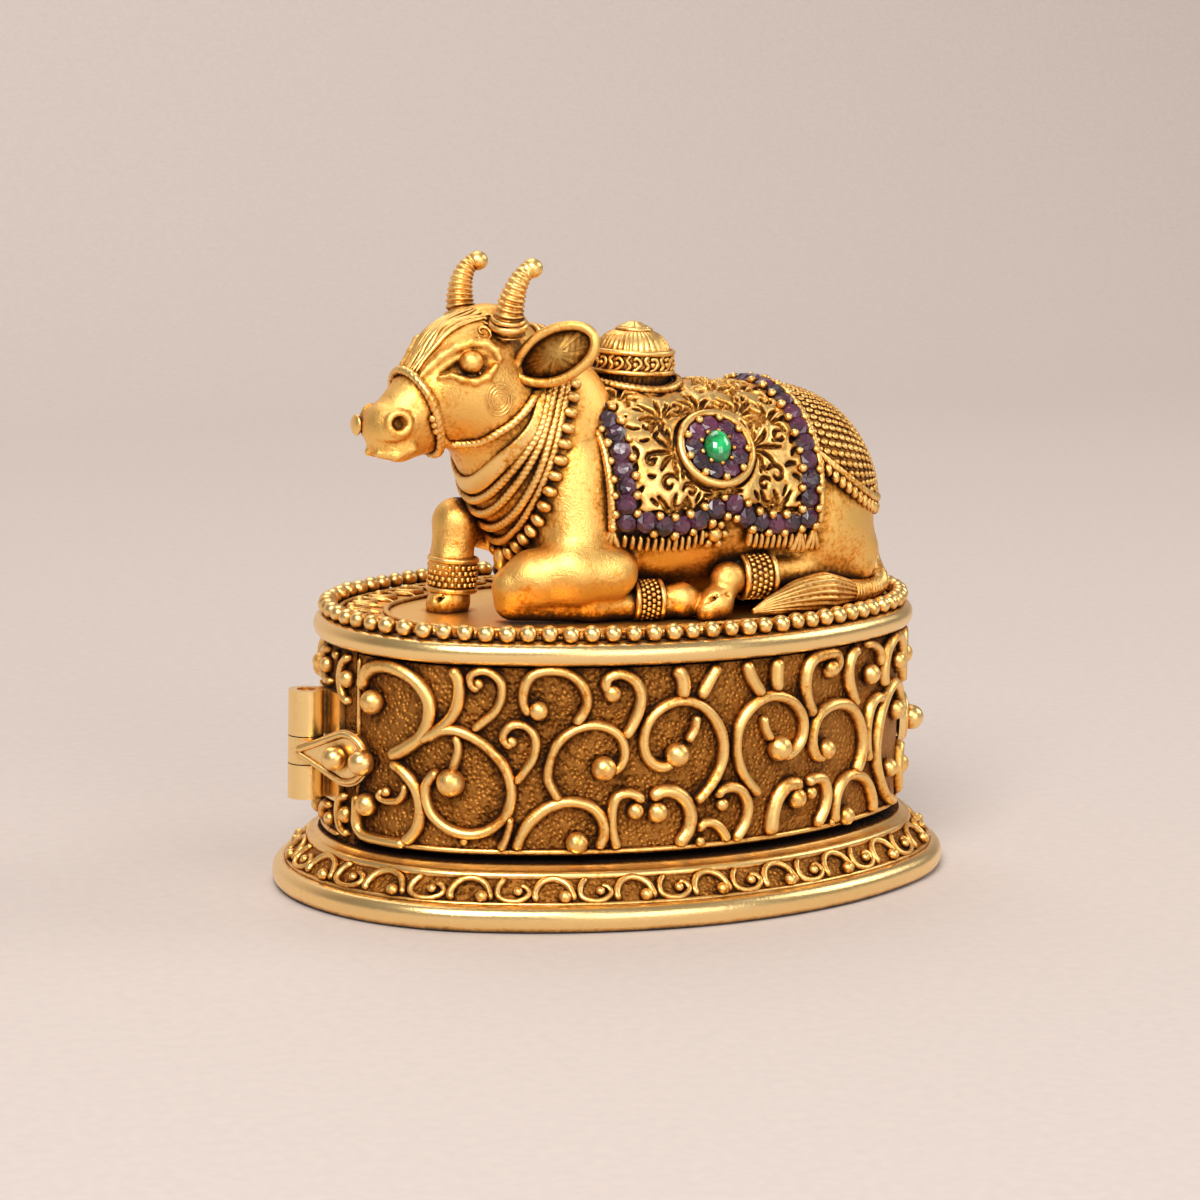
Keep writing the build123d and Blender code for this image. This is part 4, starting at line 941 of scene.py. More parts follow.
def shoot(f, origins, directions, level=0.0, reach=16.0):
    """Where rays from inside meet the surface at this level."""
    origins, directions = np.asarray(origins, np.float32), unit(directions).astype(np.float32)
    near, far = np.zeros(len(origins), np.float32), np.full(len(origins), reach, np.float32)
    for _ in range(18):
        middle = (near + far) / 2
        outside = f(origins + directions * middle[:, None]) > level
        far = np.where(outside, middle, far)
        near = np.where(outside, near, middle)
    return origins + directions * near[:, None]


def drape(f, level):
    """A surface laid on a form. Its coordinates are X and the angle in degrees above the axis."""

    def surface(uv):
        around = np.radians(uv[:, 1])
        directions = np.stack([0 * around, -np.cos(around), np.sin(around)], 1)
        origins = np.stack([uv[:, 0], 0 * around, AXIS_Z + 0 * around], 1)
        spots = shoot(f, origins, directions, level)
        return spots, slope(f, spots)[0]

    return surface


# Surface coordinates are kept in mm, so that wires keep their width: the angle is in arc length
ARC = 10.7 * pi / 180


def arc_drape(f, level):
    laid = drape(f, level)
    return lambda uv: laid(np.stack([uv[:, 0], uv[:, 1] / ARC], 1))


BULL_NODES = [
    "bull_casting", "near_foreleg", "near_foreshank", "far_foreleg", "far_foreshank", "near_thigh",
    "near_hindshank", "far_thigh", "far_hindshank",
]
FLIPS = (1, -1)


def over(angle, flip):
    """This angle on the near side, flip 1, or the same place on the far side, flip -1."""
    return angle if flip == 1 else 180 - angle


for name, f, low, high, step, nodes in (
    ("bull_trunk", trunk, (-17.5, -13.5, DECK_TOP - 0.6), (28, 13.5, 45), 0.27, BULL_NODES),
    ("bull_head", head, (-28, -8.5, 26), (-3.5, 8.5, 51), 0.2, ["eye_balls"]),
    ("hooves", hooves, (-19, -12.5, DECK_TOP - 0.4), (9.5, 12.5, 30), 0.2, ()),
):
    heap = Heap()
    sculpt(heap, f, low, high, step)
    heap.make(name, body_gold, nodes)

# Horns: ringed, with a collar and a ball tip
HORN = [(-13.5, 3.3, 48.0), (-13.75, 3.8, 49.8), (-13.4, 4.2, 51.8), (-12.7, 4.3, 53.0), (-12.0, 4.2, 53.5)]
for side, name in ((-1, "near"), (1, "far")):
    horn = Heap()
    spine = smooth_path([(x, side * y, z) for x, y, z in HORN], 0.05)
    share = np.linspace(0, 1, len(spine))
    radii = np.interp(share, [0, 0.12, 0.5, 1], [1.4, 1.3, 1.05, 0.62])
    radii = radii * (1 + 0.085 * np.cos(share * tau * 14))
    spine = from_head(spine)
    sweep_3d(horn, spine, radii, 20)
    ball(horn, spine[-1] + np.array([0.2, 0, -0.05]), (0.9, 0.9, 0.85), None, 12)
    for share, radius, wire in ((0.13, 1.42, 0.34), (0.2, 1.3, 0.24)):
        at = int(share * len(spine))
        axes = axes_from(unit(spine[at + 6] - spine[at]))
        sweep_3d(horn, circle(spine[at], radius, axes, 36), wire, 8, True)
    horn.make(f"horn_ringed_{name}", relief_gold, [f"horn_{name}"])

# Ears: open cups with a thick rim
for side, name in ((-1, "near"), (1, "far")):
    base = from_head((-13.2, side * 4.3, 44.7))[0]
    tip = from_head((-8.9, side * 9.3, 48.1))[0]
    along = unit(tip - base)
    facing = np.array([-0.80, side * 0.60, 0.05])
    facing = unit(facing - along * (facing @ along))
    across = np.cross(facing, along)
    length, width = np.linalg.norm(tip - base) / 2, 2.1
    centre = (base + tip) / 2
    a = angles(48)
    narrow = 1 - 0.22 * np.clip(-np.cos(a), 0, 1) ** 2
    outline = centre + np.cos(a)[:, None] * along * length + (np.sin(a) * narrow)[:, None] * across * width
    ear_in, ear_out = Heap(), Heap()
    for heap, depth, edge in ((ear_in, 1.15, 0.93), (ear_out, 1.85, 1.02)):
        rho = np.linspace(1, 0.04, 12)[:, None, None]
        rings = centre + (outline - centre) * rho * edge - facing * (depth * np.sqrt(1 - rho**2))
        rings_to_heap(heap, rings if heap is ear_out else rings[:, ::-1])
    sweep_3d(ear_out, outline, 0.42, 12, True)
    ear_in.make(f"ear_hollow_{name}", ground_gold)
    ear_out.make(f"ear_cup_{name}", body_gold, [f"ear_{name}"])

# Head furniture: nose rope, rein rope, forehead locks, cheek whorl
HEAD_ARC = 4.2 * pi / 180


def on_head(uv):
    """The skull. Coordinates: mm along it from poll to muzzle, and mm round its middle."""
    run = unit(np.array([-0.89, 0, -0.46]))
    up = np.array([run[2], 0, -run[0]])
    around = np.radians(uv[:, 1] / HEAD_ARC)
    origins = np.array([-15.0, 0, 44.6]) + run * uv[:, :1]
    directions = up * np.cos(around)[:, None] - np.array([0, 1.0, 0]) * np.sin(around)[:, None]
    spots = shoot(skull, origins, directions, 0.0, 9.0)
    pivot = np.array([HEAD_PIVOT_X, 0, 0])
    return from_head(spots), from_head(slope(skull, spots)[0] + pivot) - pivot


def strand(heap, f, points, radius, level):
    """A hair or thread that lies on a form and thins out at both ends."""
    path, _ = settle(f, smooth_path(points, 0.15), level)
    share = np.sin(np.linspace(0.12, pi - 0.12, len(path))) ** 0.5
    sweep_3d(heap, from_head(path), radius * share, 8)


def spiral(start, end, turns, count):
    """Shares of the radius and angles of a spiral."""
    return zip(np.linspace(start, end, count), np.linspace(0, turns * tau, count))


REIN = [
    (-19.4, 2.2, 39.4), (-17.9, 1.7, 38.6), (-16.3, 2.9, 38.9), (-15.2, 4.2, 39.7), (-14.0, 4.8, 40.6),
    (-12.8, 5.2, 41.8), (-11.6, 5.1, 43.3),
]
LOCK = [
    (-14.9, 2.4, 49.3), (-16.4, 1.9, 49.0), (-18.0, 1.5, 48.4), (-19.4, 1.5, 47.0), (-20.4, 1.2, 45.8),
    (-21.3, 1.0, 44.7),
]
furniture = Heap()
loop = np.linspace(-180, 180, 90, endpoint=False) * HEAD_ARC
slant = 0.3 * np.cos(np.radians(loop / HEAD_ARC))
nose_rope, outward = on_head(np.stack([6.1 - slant, loop], 1))
rope_3d(furniture, nose_rope + outward * 0.25, 0.38, 1.1, True)
for side in (-1, 1):
    rein, outward = settle(turned_head, smooth_path([(x, side * y, z) for x, y, z in REIN], 0.2))
    rope_3d(furniture, from_head(rein + outward * 0.18), 0.36, 0.95)
    for k in range(5):
        lock = []
        for n, (x, y, z) in enumerate(LOCK):
            lock.append((x, side * y * (k + 0.5) / 4.5 + 0.16 * sin(2.1 * n + 1.7 * k), z))
        strand(furniture, skull, lock, 0.27, 0.02)
    whorl = []
    for r, a in spiral(1.0, 0.08, 4.5, 70):
        whorl.append((-15.3 + 1.45 * r * cos(a), side * 4.9, 42.6 + 1.6 * r * sin(a)))
    strand(furniture, turned_head, whorl, 0.10, -0.02)
    for angle in (100, 112, 124):
        ball_on(furniture, on_head, (6.55, -side * angle * HEAD_ARC), 0.36, 0.5, fine=7)
    for across, down, size in ((3.0, -0.9, 0.75), (2.2, -2.2, 0.6), (3.9, -2.4, 0.6)):
        lock = []
        for r, a in spiral(1.1, 0.2, 1.2, 12):
            lock.append((down + size * r * cos(a), -side * (across + size * r * sin(a))))
        wire_on(furniture, on_head, lock, 0.36, 0.24, 6, 0.14, (0.6, 0.6), 0.1, 0.08)
ball(furniture, from_head((-25.2, 1.7, 40.3))[0], (0.35, 0.9, 0.9))
furniture.make("head_ropes", relief_gold, ["bridle_rope"])

# Neck: a flat band, three ropes and a strand of drop bells with a pendant. Side views as X and Z.
BAND = [
    (-15.2, 34.2), (-14.9, 35.0), (-14.0, 37.0), (-12.4, 38.9), (-11.4, 40.3), (-10.7, 42.1), (-9.9, 44.5),
    (-9.2, 46.5),
]
NECK_ROPES = [
    [(-14.5, 33.0), (-14.2, 34.0), (-13.4, 35.9), (-12.2, 38.1), (-11.25, 39.8), (-10.6, 41.7),
        (-9.95, 43.9), (-9.1, 46.2)],
    [(-13.7, 32.0), (-13.5, 33.0), (-12.9, 34.9), (-11.9, 37.2), (-11.0, 39.3), (-10.3, 41.4),
        (-9.6, 43.6), (-8.7, 45.8)],
    [(-12.9, 30.8), (-12.6, 31.9), (-12.0, 34.0), (-11.2, 36.6), (-10.4, 39.3), (-9.7, 41.3),
        (-9.0, 43.4), (-8.1, 45.4)],
]
BELL_ROPE = [
    (-12.1, 29.6), (-11.9, 30.6), (-11.5, 33.3), (-10.8, 36.0), (-10.1, 38.4), (-9.4, 40.7), (-8.5, 43.2),
    (-7.5, 45.2),
]
BELLS = [
    (-11.3, 28.6), (-11.3, 29.6), (-11.0, 31.7), (-10.6, 33.8), (-10.0, 36.2), (-9.3, 38.9), (-8.6, 41.2),
    (-7.7, 43.6), (-6.8, 45.2),
]


def body(p):
    """Torso, neck and head."""
    return np.minimum(torso(p), head(p))


def neck_loop(line, count=160):
    """A closed loop round the neck. Its side view follows these points of X and Z."""
    curve = smooth_path(line, 0.1)
    before, after = curve[0] + (curve[0] - curve[4]) * 20, curve[-1] + (curve[-1] - curve[-5]) * 20
    curve = np.vstack([before, curve, after])
    run = run_along(curve)
    a = np.linspace(0, tau, count, endpoint=False)
    near, far = np.zeros(count), np.full(count, 16.0)

    def spots(reach):
        at = run[-1] / 2 + reach * np.cos(a)
        x, z = (np.interp(at, run, curve[:, k]) for k in (0, 1))
        return np.stack([x, -reach * np.sin(a), z], 1)

    for _ in range(18):
        middle = (near + far) / 2
        outside = body(spots(middle).astype(np.float32)) > 0
        far, near = np.where(outside, middle, far), np.where(outside, near, middle)
    found = spots(near)
    return found, slope(body, found.astype(np.float32))[0]


neck_heap = Heap()
loop, outward = neck_loop(BAND)
tangent = unit(np.roll(loop, -1, axis=0) - np.roll(loop, 1, axis=0))
wide = np.cross(outward, tangent)
c, s = np.cos(angles(16)), np.sin(angles(16))
section = np.stack([np.sign(c) * np.abs(c) ** 0.5 * 0.8, np.sign(s) * np.abs(s) ** 0.6 * 0.32], 1)
rings = loop[:, None] + wide[:, None] * section[None, :, :1]
rings = rings + outward[:, None] * (section[None, :, 1:] + 0.12)
rings_to_heap(neck_heap, rings, closed=True)
for line in NECK_ROPES:
    loop, outward = neck_loop(line)
    rope_3d(neck_heap, loop + outward * 0.22, 0.40, 0.95, True)
neck_nodes = ["neck_band", "neck_rope_upper", "neck_rope_middle", "neck_rope_lower"]
neck_heap.make("neck_ropes", relief_gold, neck_nodes)

BELL_SPACING, BELLS_TOP = 1.32, 44.3
bell_heap = Heap()
loop, outward = neck_loop(BELL_ROPE)
rope_3d(bell_heap, loop + outward * 0.2, 0.38, 0.95, True)
loop, outward = neck_loop(BELLS, 600)
run = run_along(loop)
total = int(run[-1] / BELL_SPACING)
for number in range(total):
    at = int(np.searchsorted(run, (number + 0.5) * run[-1] / total)) % 600
    spot, normal = loop[at], outward[at]
    ahead = unit(loop[(at + 4) % 600] - loop[at - 4])
    hang = unit(np.cross(ahead, normal))
    hang = hang if hang[0] > 0 else -hang
    if spot[2] < BELLS_TOP:
        ball(bell_heap, spot + normal * 0.32, (0.72, 0.5, 0.5), framed(hang, normal), 9)
ball(bell_heap, loop[np.argmin(loop[:, 2])] + np.array([-0.3, 0, -0.5]), (0.7, 0.7, 1.1))
bell_heap.make("neck_bells_strand", relief_gold, ["bell_rope", "neck_bells"])

# Hump pot: a fluted bowl, an openwork band and a fluted dome with a rosette
POT_X, POT_Z, POT_TILT = 0.7, 42.2, radians(2)
POT_HEIGHTS, POT_RADII = (44.0, 44.9, 45.75), (3.34, 3.42, 3.3)
POT_WIRES = (
    [(0, 44.2), (0.4, 44.7), (0.1, 45.2), (0.5, 45.7)],
    [(0.5, 44.2), (1.0, 44.5), (1.3, 45.0), (0.9, 45.4), (0.6, 45.1)],
)
pot_turn = np.array([[cos(POT_TILT), 0, sin(POT_TILT)], [0, 1, 0], [-sin(POT_TILT), 0, cos(POT_TILT)]])


def pot_place(radius, around, z):
    """Points of the leaning pot at this radius, angle and height."""
    spots = np.stack([radius * np.cos(around), radius * np.sin(around), z + 0 * around], 1)
    return (spots - [0, 0, POT_Z]) @ pot_turn.T + [POT_X, 0, POT_Z]


def lathe(heap, outline, flutes, depth):
    """Turn an outline of radius and height, with flutes round it."""
    fine = smooth_path(outline, 0.15)
    around = angles(144)
    share = depth * np.sin(np.linspace(0, pi, len(fine))) ** 0.5
    rings = []
    for (radius, z), groove in zip(fine, share):
        r = radius * (1 - groove * (1 - np.abs(np.cos(around * flutes / 2)) ** 0.6))
        rings.append(pot_place(r, around, z))
    rings_to_heap(heap, np.array(rings)[:, ::-1])


def pot_wall(uv):
    """The pot's band. Coordinates: mm round it, and height."""
    a = uv[:, 0] / POT_RADII[1]
    spots = pot_place(np.interp(uv[:, 1], POT_HEIGHTS, POT_RADII), a, uv[:, 1])
    return spots, np.stack([np.cos(a), np.sin(a), 0 * a], 1) @ pot_turn.T


def on_back(radius):
    """A circle round the pot's foot, laid on the cloth."""
    a = angles(120)
    x, y = POT_X + 0.1 + radius * np.cos(a), radius * np.sin(a)
    origins = np.stack([x, 0 * a, AXIS_Z + 0 * a], 1)
    return shoot(barrel, origins, np.stack([0 * a, y, 9.6 + 0 * a], 1), CLOTH + 0.2)


pot = Heap()
lathe(pot, [(2.3, 41.4), (2.95, 42.4), (3.2, 43.2), (3.3, 44.1)], 44, 0.13)
lathe(pot, list(zip(POT_RADII, POT_HEIGHTS)), 2, 0.0)
lathe(pot, [(3.35, 45.8), (2.95, 46.65), (2.25, 47.3), (1.2, 47.75)], 38, 0.13)
lathe(pot, [(1.5, 47.5), (1.35, 47.9), (0.9, 48.1), (0.5, 48.3), (0.05, 48.35)], 8, 0.14)
for radius, z, wire in ((3.5, 44.1, 0.27), (3.46, 45.8, 0.25), (1.45, 47.65, 0.2)):
    sweep_3d(pot, pot_place(radius, angles(90), z), wire, 8, True)
for index in range(14):
    u = index * tau * POT_RADII[1] / 14
    for line in POT_WIRES:
        wire_on(pot, pot_wall, [(u + across, z) for across, z in line], 0.4, 0.3, 6, 0.12)
    ball_on(pot, pot_wall, (u + 0.78, 44.85), 0.26, 0.4, fine=6)
pot.make("hump_pot_fluted", relief_gold, ["hump_pot"])
pot_base = Heap()
rope_3d(pot_base, on_back(3.95), 0.40, 0.95, True)
sweep_3d(pot_base, on_back(3.4), 0.28, 8, True)
pot_base.make("pot_base_rope", relief_gold, ["pot_ring"])

# Saddle cloth: a thin shell over the barrel. Its relief is leaves and curls with narrow cuts between
# them, drawn in mm on the cloth.
on_cloth = arc_drape(barrel, CLOTH)
CLOTH_X, CLOTH_TOP = (-5.3, 13.9), 90.4
MEDALLION = (3.95, 29.5)
GRAIN = 0.09
grid_x = np.arange(CLOTH_X[0], CLOTH_X[1] + GRAIN / 2, GRAIN)
grid_v = np.arange(-11.0 * ARC, 91 * ARC, GRAIN)
cuts = np.full((len(grid_x), len(grid_v)), 0.6)


def hem_angle(x):
    """Lower edge of the saddle cloth in degrees, with a notch in the middle."""
    return -6.5 + 9.0 * np.exp(-(((x - 4.3) / 2.0) ** 2)) - 1.5 * np.clip((x - 6.0) / 6.0, 0, 1)


def cut(points, width, ends=0.35):
    """Cut the cloth along this stroke, widest in its middle."""
    path = smooth_path(points, 0.1)
    half = width / 2 * (ends + (1 - ends) * np.sin(np.linspace(0, pi, len(path))))
    for (x, v), reach in zip(path, half):
        i0, i1 = np.searchsorted(grid_x, (x - 0.9, x + 0.9))
        j0, j1 = np.searchsorted(grid_v, (v - 0.9, v + 0.9))
        away = np.hypot(grid_x[i0:i1, None] - x, grid_v[None, j0:j1] - v) - reach
        cuts[i0:i1, j0:j1] = np.minimum(cuts[i0:i1, j0:j1], away)


def palmette(x, v, heading, size, count=7, spread=1.25):
    """A fan of leaf fingers with cuts between them."""
    for k in range(count):
        share = 2 * k / (count - 1) - 1
        reach = size * (1 - 0.38 * abs(share))
        turn = heading + share * spread
        line = []
        for t in (0.22, 0.45, 0.7, 1.0):
            lean = turn + share * 0.75 * t * t
            line.append((x + cos(lean) * reach * t, v + sin(lean) * reach * t))
        cut(line, 0.34)
        if k % 2:
            lean = turn + share * 0.75 + 0.22
            cut([(x + cos(lean) * reach * t, v + sin(lean) * reach * t) for t in (0.8, 0.95, 1.1)], 0.22)


def curl(x, v, size, start, spin):
    """A spiral cut round a small boss."""
    line = []
    for r, a in zip(np.linspace(1, 0.3, 12), np.linspace(0, 5.2, 12)):
        turn = start + spin * a
        line.append((x + size * r * cos(turn), v + size * r * sin(turn)))
    cut(line, 0.28)


mx, mv = MEDALLION[0], MEDALLION[1] * ARC
for x, v, heading, size in (
    (mx - 3.5, mv, pi, 2.9), (mx + 3.5, mv + 0.1, 0.0, 3.2), (-0.6, -0.6, 2.15, 2.6), (0.6, -0.9, 0.9, 2.6),
    (8.6, -1.0, 1.85, 2.7), (9.3, -0.9, 0.95, 2.8), (mx, mv + 3.9, pi / 2, 2.6), (0.2, 8.6, 2.3, 2.8),
    (7.4, 9.0, 0.75, 3.0), (10.2, 8.0, 1.5, 2.6), (6.8, 12.4, 1.2, 2.6), (9.8, 12.6, 1.6, 2.8),
        (5.6, 15.4, 0.2, 2.4),
    (mx, mv - 3.8, -pi / 2, 1.5), (-3.2, 12.0, 0.9, 2.2), (8.6, 15.8, 0.9, 2.2),
):
    palmette(x, v, heading, size)
for x, v, size, start, spin in (
    (-0.9, 2.7, 0.85, 0.4, 1), (-1.9, 8.3, 0.7, 2.0, -1), (1.0, 2.0, 0.7, 3.0, -1),
        (9.6, 3.0, 0.95, 2.6, -1), (8.3, 2.2, 0.65, 0.5, 1),
    (10.9, 6.6, 0.75, 1.0, 1), (1.9, 10.3, 0.7, 4.0, 1), (6.0, 10.6, 0.65, 1.0, -1),
        (9.0, 11.0, 0.7, 2.5, 1), (11.2, 11.2, 0.6, 0.2, -1),
    (5.6, 1.2, 0.6, 1.0, 1), (2.6, 0.9, 0.6, 2.0, -1), (7.4, 14.7, 0.65, 2.2, 1),
        (11.0, 15.2, 0.6, 0.9, 1), (-2.2, 4.9, 0.6, 0.9, 1),
):
    curl(x, v, size, start, spin)
a = np.linspace(0, tau, 40)
cut(np.stack([mx + 3.72 * np.cos(a), mv + 3.72 * np.sin(a)], 1), 0.22, 1.0)
for x, v in rng.uniform((-3.9, -6 * ARC), (12.4, 90 * ARC), (1500, 2)):
    i, j = int((x - grid_x[0]) / GRAIN), int((v - grid_v[0]) / GRAIN)
    if i < 8 or j < 8 or cuts[i - 5 : i + 6, j - 5 : j + 6].min() < 0.22 or hypot(x - mx, v - mv) < 3.6:
        continue
    lean = atan2(v - mv, x - mx) + 0.9 * sin(1.3 * x) + 0.8 * cos(1.1 * v)
    length = rng.uniform(0.25, 0.6)
    dx, dv = cos(lean) * length, sin(lean) * length
    cut([(x - dx, v - dv), (x - dv * 0.25, v + dx * 0.25), (x + dx, v + dv)], rng.uniform(0.2, 0.32))

leaf_height = np.clip(cuts / 0.11, 0, 1)
leaf_height = leaf_height * leaf_height * (3 - 2 * leaf_height)
relief = 0.02 + 0.12 * np.clip(cuts / 0.5, 0, 1) ** 0.5 - 0.42 * (1 - leaf_height)
on_barrel = drape(barrel, CLOTH)
rows = len(grid_v)
low = hem_angle(grid_x) * ARC
v = low[:, None] + (CLOTH_TOP * ARC - low[:, None]) * np.linspace(0, 1, rows)
lift = np.stack([np.interp(v[i], grid_v, relief[i]) for i in range(len(grid_x))])
for flip, name, nodes in ((1, "near", ["saddle_cloth"]), (-1, "far", ())):
    uv = np.stack([np.repeat(grid_x, rows), over(v / ARC, flip).ravel()], 1)
    spots, outward = on_barrel(uv)
    spots = (spots + outward * lift.reshape(-1, 1)).reshape(len(grid_x), rows, 3)
    base = (spots - outward.reshape(spots.shape) * 0.75)[:, [-1, 0]]
    shell = np.concatenate([spots, base], axis=1)
    cloth = Heap()
    rings_to_heap(cloth, shell if flip == 1 else shell[:, ::-1])
    cloth.make(f"saddle_shell_{name}", relief_gold, nodes)

# Rump cloth: rows of scales, a rope edge and a fringe of drops
RUMP_X, RUMP_TOP = (13.7, 23.0), 90.5
EDGE_X = [13.4, 14.2, 15.7, 17.2, 18.8, 20.4, 22.0, 23.6]
EDGE_ANGLES = [30, 26, 18.5, 12.5, 6.5, 2.0, -2.0, -4.0]


def rump_low(x):
    """Lower edge of the rump cloth in degrees."""
    return np.interp(x, EDGE_X, EDGE_ANGLES)


def rump_side(heap, flip, step=0.3):
    """One half of the rump cloth, as a shell on the barrel."""
    xs = np.arange(RUMP_X[0], RUMP_X[1] + step / 2, step)
    low, high = over(rump_low(xs), flip), over(RUMP_TOP, flip)
    rows = int(float(np.max(np.abs(high - low))) * ARC / step)
    spread = low[:, None] + (high - low)[:, None] * np.linspace(0, 1, rows)
    uv = np.stack([np.repeat(xs, rows), spread.ravel()], 1)
    outer, inner = (
        drape(barrel, level)(uv)[0].reshape(len(xs), rows, 3) for level in (RUMP_LIFT, RUMP_LIFT - 0.55)
    )
    rings_to_heap(heap, np.concatenate([outer, inner[:, ::-1]], axis=1))


rump = Heap()
for flip in FLIPS:
    rump_side(rump, flip)
rump.make("rump_shell", ground_gold, ["rump_cloth"])

scales = Heap()
on_rump = arc_drape(barrel, RUMP_LIFT)
for row in range(12):
    x = 14.6 + row * 0.76
    low = float(rump_low(x)) + 4
    count = int((176 - 2 * low) * ARC / 0.92)
    for index in range(count + 1):
        angle = low + (180 - 2 * low) * (index + 0.5 * (row % 2)) / count
        if angle <= 180 - low:
            ball_on(scales, on_rump, (x, angle * ARC), 0.33, 0.12, 0.6, 6, 1.25)
DOWN = np.array([0, 0, -1.0])
for flip in FLIPS:
    edge_x = np.linspace(14.0, RUMP_X[1], 60)
    spots, outward = on_rump(np.stack([edge_x, over(rump_low(edge_x), flip) * ARC], 1))
    rope_3d(scales, spots + outward * 0.12, 0.36, 1.0)
    for index in range(13):
        x = 14.3 + index * 0.68
        (spot,), (normal,) = on_rump(np.array([[x, over(float(rump_low(x)), flip) * ARC]]))
        hang = unit(DOWN - normal * (DOWN @ normal))
        ball(scales, spot + hang * 0.85, (0.62, 0.38, 0.4), framed(hang, normal), 8)
back_spots, _ = on_rump(np.stack([np.full(80, RUMP_X[1] + 0.05), np.linspace(-4, 184, 80) * ARC], 1))
rope_3d(scales, back_spots, 0.34, 1.0)
scales.make("rump_scales", relief_gold, ["rump_fringe"])

# Tail: a ridged wrap and a striped, leaf-shaped tuft
TAIL = [
    (23.5, 0.3, 33.5), (24.4, -0.8, 30.0), (24.3, -2.6, 26.8), (23.6, -4.9, 25.4), (21.8, -7.2, 25.0),
    (18.4, -9.2, 25.0),
]
TUFT = [(18.6, -9.1, 25.0), (16.2, -9.8, 25.3), (13.2, -10.7, 25.4), (9.8, -11.4, 25.0), (6.6, -11.7, 24.4)]


def tuft_section(angle):
    return 0.86 + 0.16 * np.abs(np.cos(angle * 9)) ** 0.7


tail = Heap()
spine = smooth_path(TAIL, 0.1)
share = np.linspace(0, 1, len(spine))
radii = np.interp(share, [0, 0.3, 0.6, 1], [0.9, 0.8, 0.85, 1.0])
sweep_3d(tail, spine, radii * (1 + np.where(share > 0.58, 0.10, 0.0) * np.cos(share * tau * 34)), 16)
spine = smooth_path(TUFT, 0.12)
share = np.linspace(0, 1, len(spine))
radii = np.interp(share, [0, 0.12, 0.35, 0.6, 0.85, 1], [0.8, 1.15, 1.75, 1.5, 0.8, 0.2])
sweep_3d(tail, spine, radii, 108, False, tuft_section, share * 0.9, np.tile([0, 0, 1.0], (len(spine), 1)))
for share in (0.0, 0.03, 0.06):
    axes = axes_from(unit(spine[6] - spine[0]))
    sweep_3d(tail, circle(spine[int(share * len(spine))], 0.92, axes, 30), 0.22, 8, True)
tail.make("tail_tufted", relief_gold, ["tail", "tail_tuft"])

# Anklets: cuffs of small beads between two plain rings
cuffs = Heap()
for centre, direction, radius, width in (
    ((-14.75, 3.0, 26.7), (0.05, 0.0, 1.0), 1.95, 2.6),
    ((-1.7, -7.7, 25.25), (1, -0.2, 0), 1.62, 2.2),
    ((8.3, -9.1, 27.0), (1, -0.15, 0.02), 1.75, 2.6),
    ((8.3, 9.1, 27.0), (1, 0.15, 0.02), 1.75, 2.6),
):
    axes, centre = axes_from(direction, (0.1, 0.3, 1.0)), np.array(centre)
    sweep_3d(cuffs, centre + axes[2] * np.linspace(-0.5, 0.5, 8)[:, None] * width, radius, 40)
    for shift in (-0.5, 0.5):
        sweep_3d(cuffs, circle(centre + axes[2] * shift * width, radius + 0.05, axes, 48), 0.26, 8, True)
    for row in range(4):
        for k in range(22):
            angle = (k + 0.5 * (row % 2)) / 22 * tau
            spot = cos(angle) * axes[0] + sin(angle) * axes[1]
            place = centre + axes[2] * width * (row - 1.5) / 5.2 + spot * (radius + 0.05)
            if place[2] > DECK_TOP + 0.2:
                ball(cuffs, place, (0.24, 0.24, 0.24), None, 5)
cuffs.make("anklet_cuffs", relief_gold, ["anklets"])

# Trim of the saddle cloth: stones with prongs, roped edges, fringe, tassels, bosses and medallions.
# The stones' places are X and the angle in degrees.
STONES_LEFT = [
    (-4.8, 64), (-4.7, 53), (-4.5, 43.5), (-4.6, 33.5), (-4.7, 23.5), (-4.6, 14.5), (-4.7, 5.5), (-4.6, -4.3),
]
STONES_BOTTOM = [
    (-3.0, -3.6), (-1.4, -5.8), (0.2, -5.4), (1.75, -3.3), (3.3, 1.4), (5.1, 3.2), (6.4, -3.0), (7.9, -6.0),
    (9.5, -7.2), (11.1, -7.2),
]
STONES_RIGHT = [
    (12.7, -5.6), (12.7, 3.8), (12.9, 12.9), (13.1, 22.2), (13.1, 31.4), (13.1, 40.6), (13.2, 50),
    (13.1, 59.4), (13.1, 68.6), (12.9, 77.6), (12.6, 86.4),
]
gems, prongs = Heap(), Heap()


def gem(heap, centre, radius, axes, height=0.7):
    """A faceted stone with a flat table."""
    a = (np.arange(8) + rng.random()) / 8 * tau
    points = []
    for k, (r, z) in enumerate([(0.55, 0.62 * height), (0.98, 0.12 * height), (1.0, -0.1), (0.6, -0.6)]):
        turn = a + (pi / 8 if k == 0 else 0)
        points.append(np.stack([r * np.cos(turn), r * np.sin(turn), z + 0.04 * rng.normal(size=8)], 1))
    rings_to_heap(heap, np.array(points)[::-1] * radius @ axes + centre)


def at_cloth(spot, flip, lift):
    """A place this far above the cloth at X and an angle, and the axes there."""
    where, normal = on_cloth(np.array([[spot[0], over(spot[1], flip) * ARC]]))
    return where[0] + normal[0] * lift, axes_from(normal[0])


def flipped(points, flip):
    """Points of X and angle as coordinates of the cloth."""
    return [(x, over(angle, flip) * ARC) for x, angle in points]


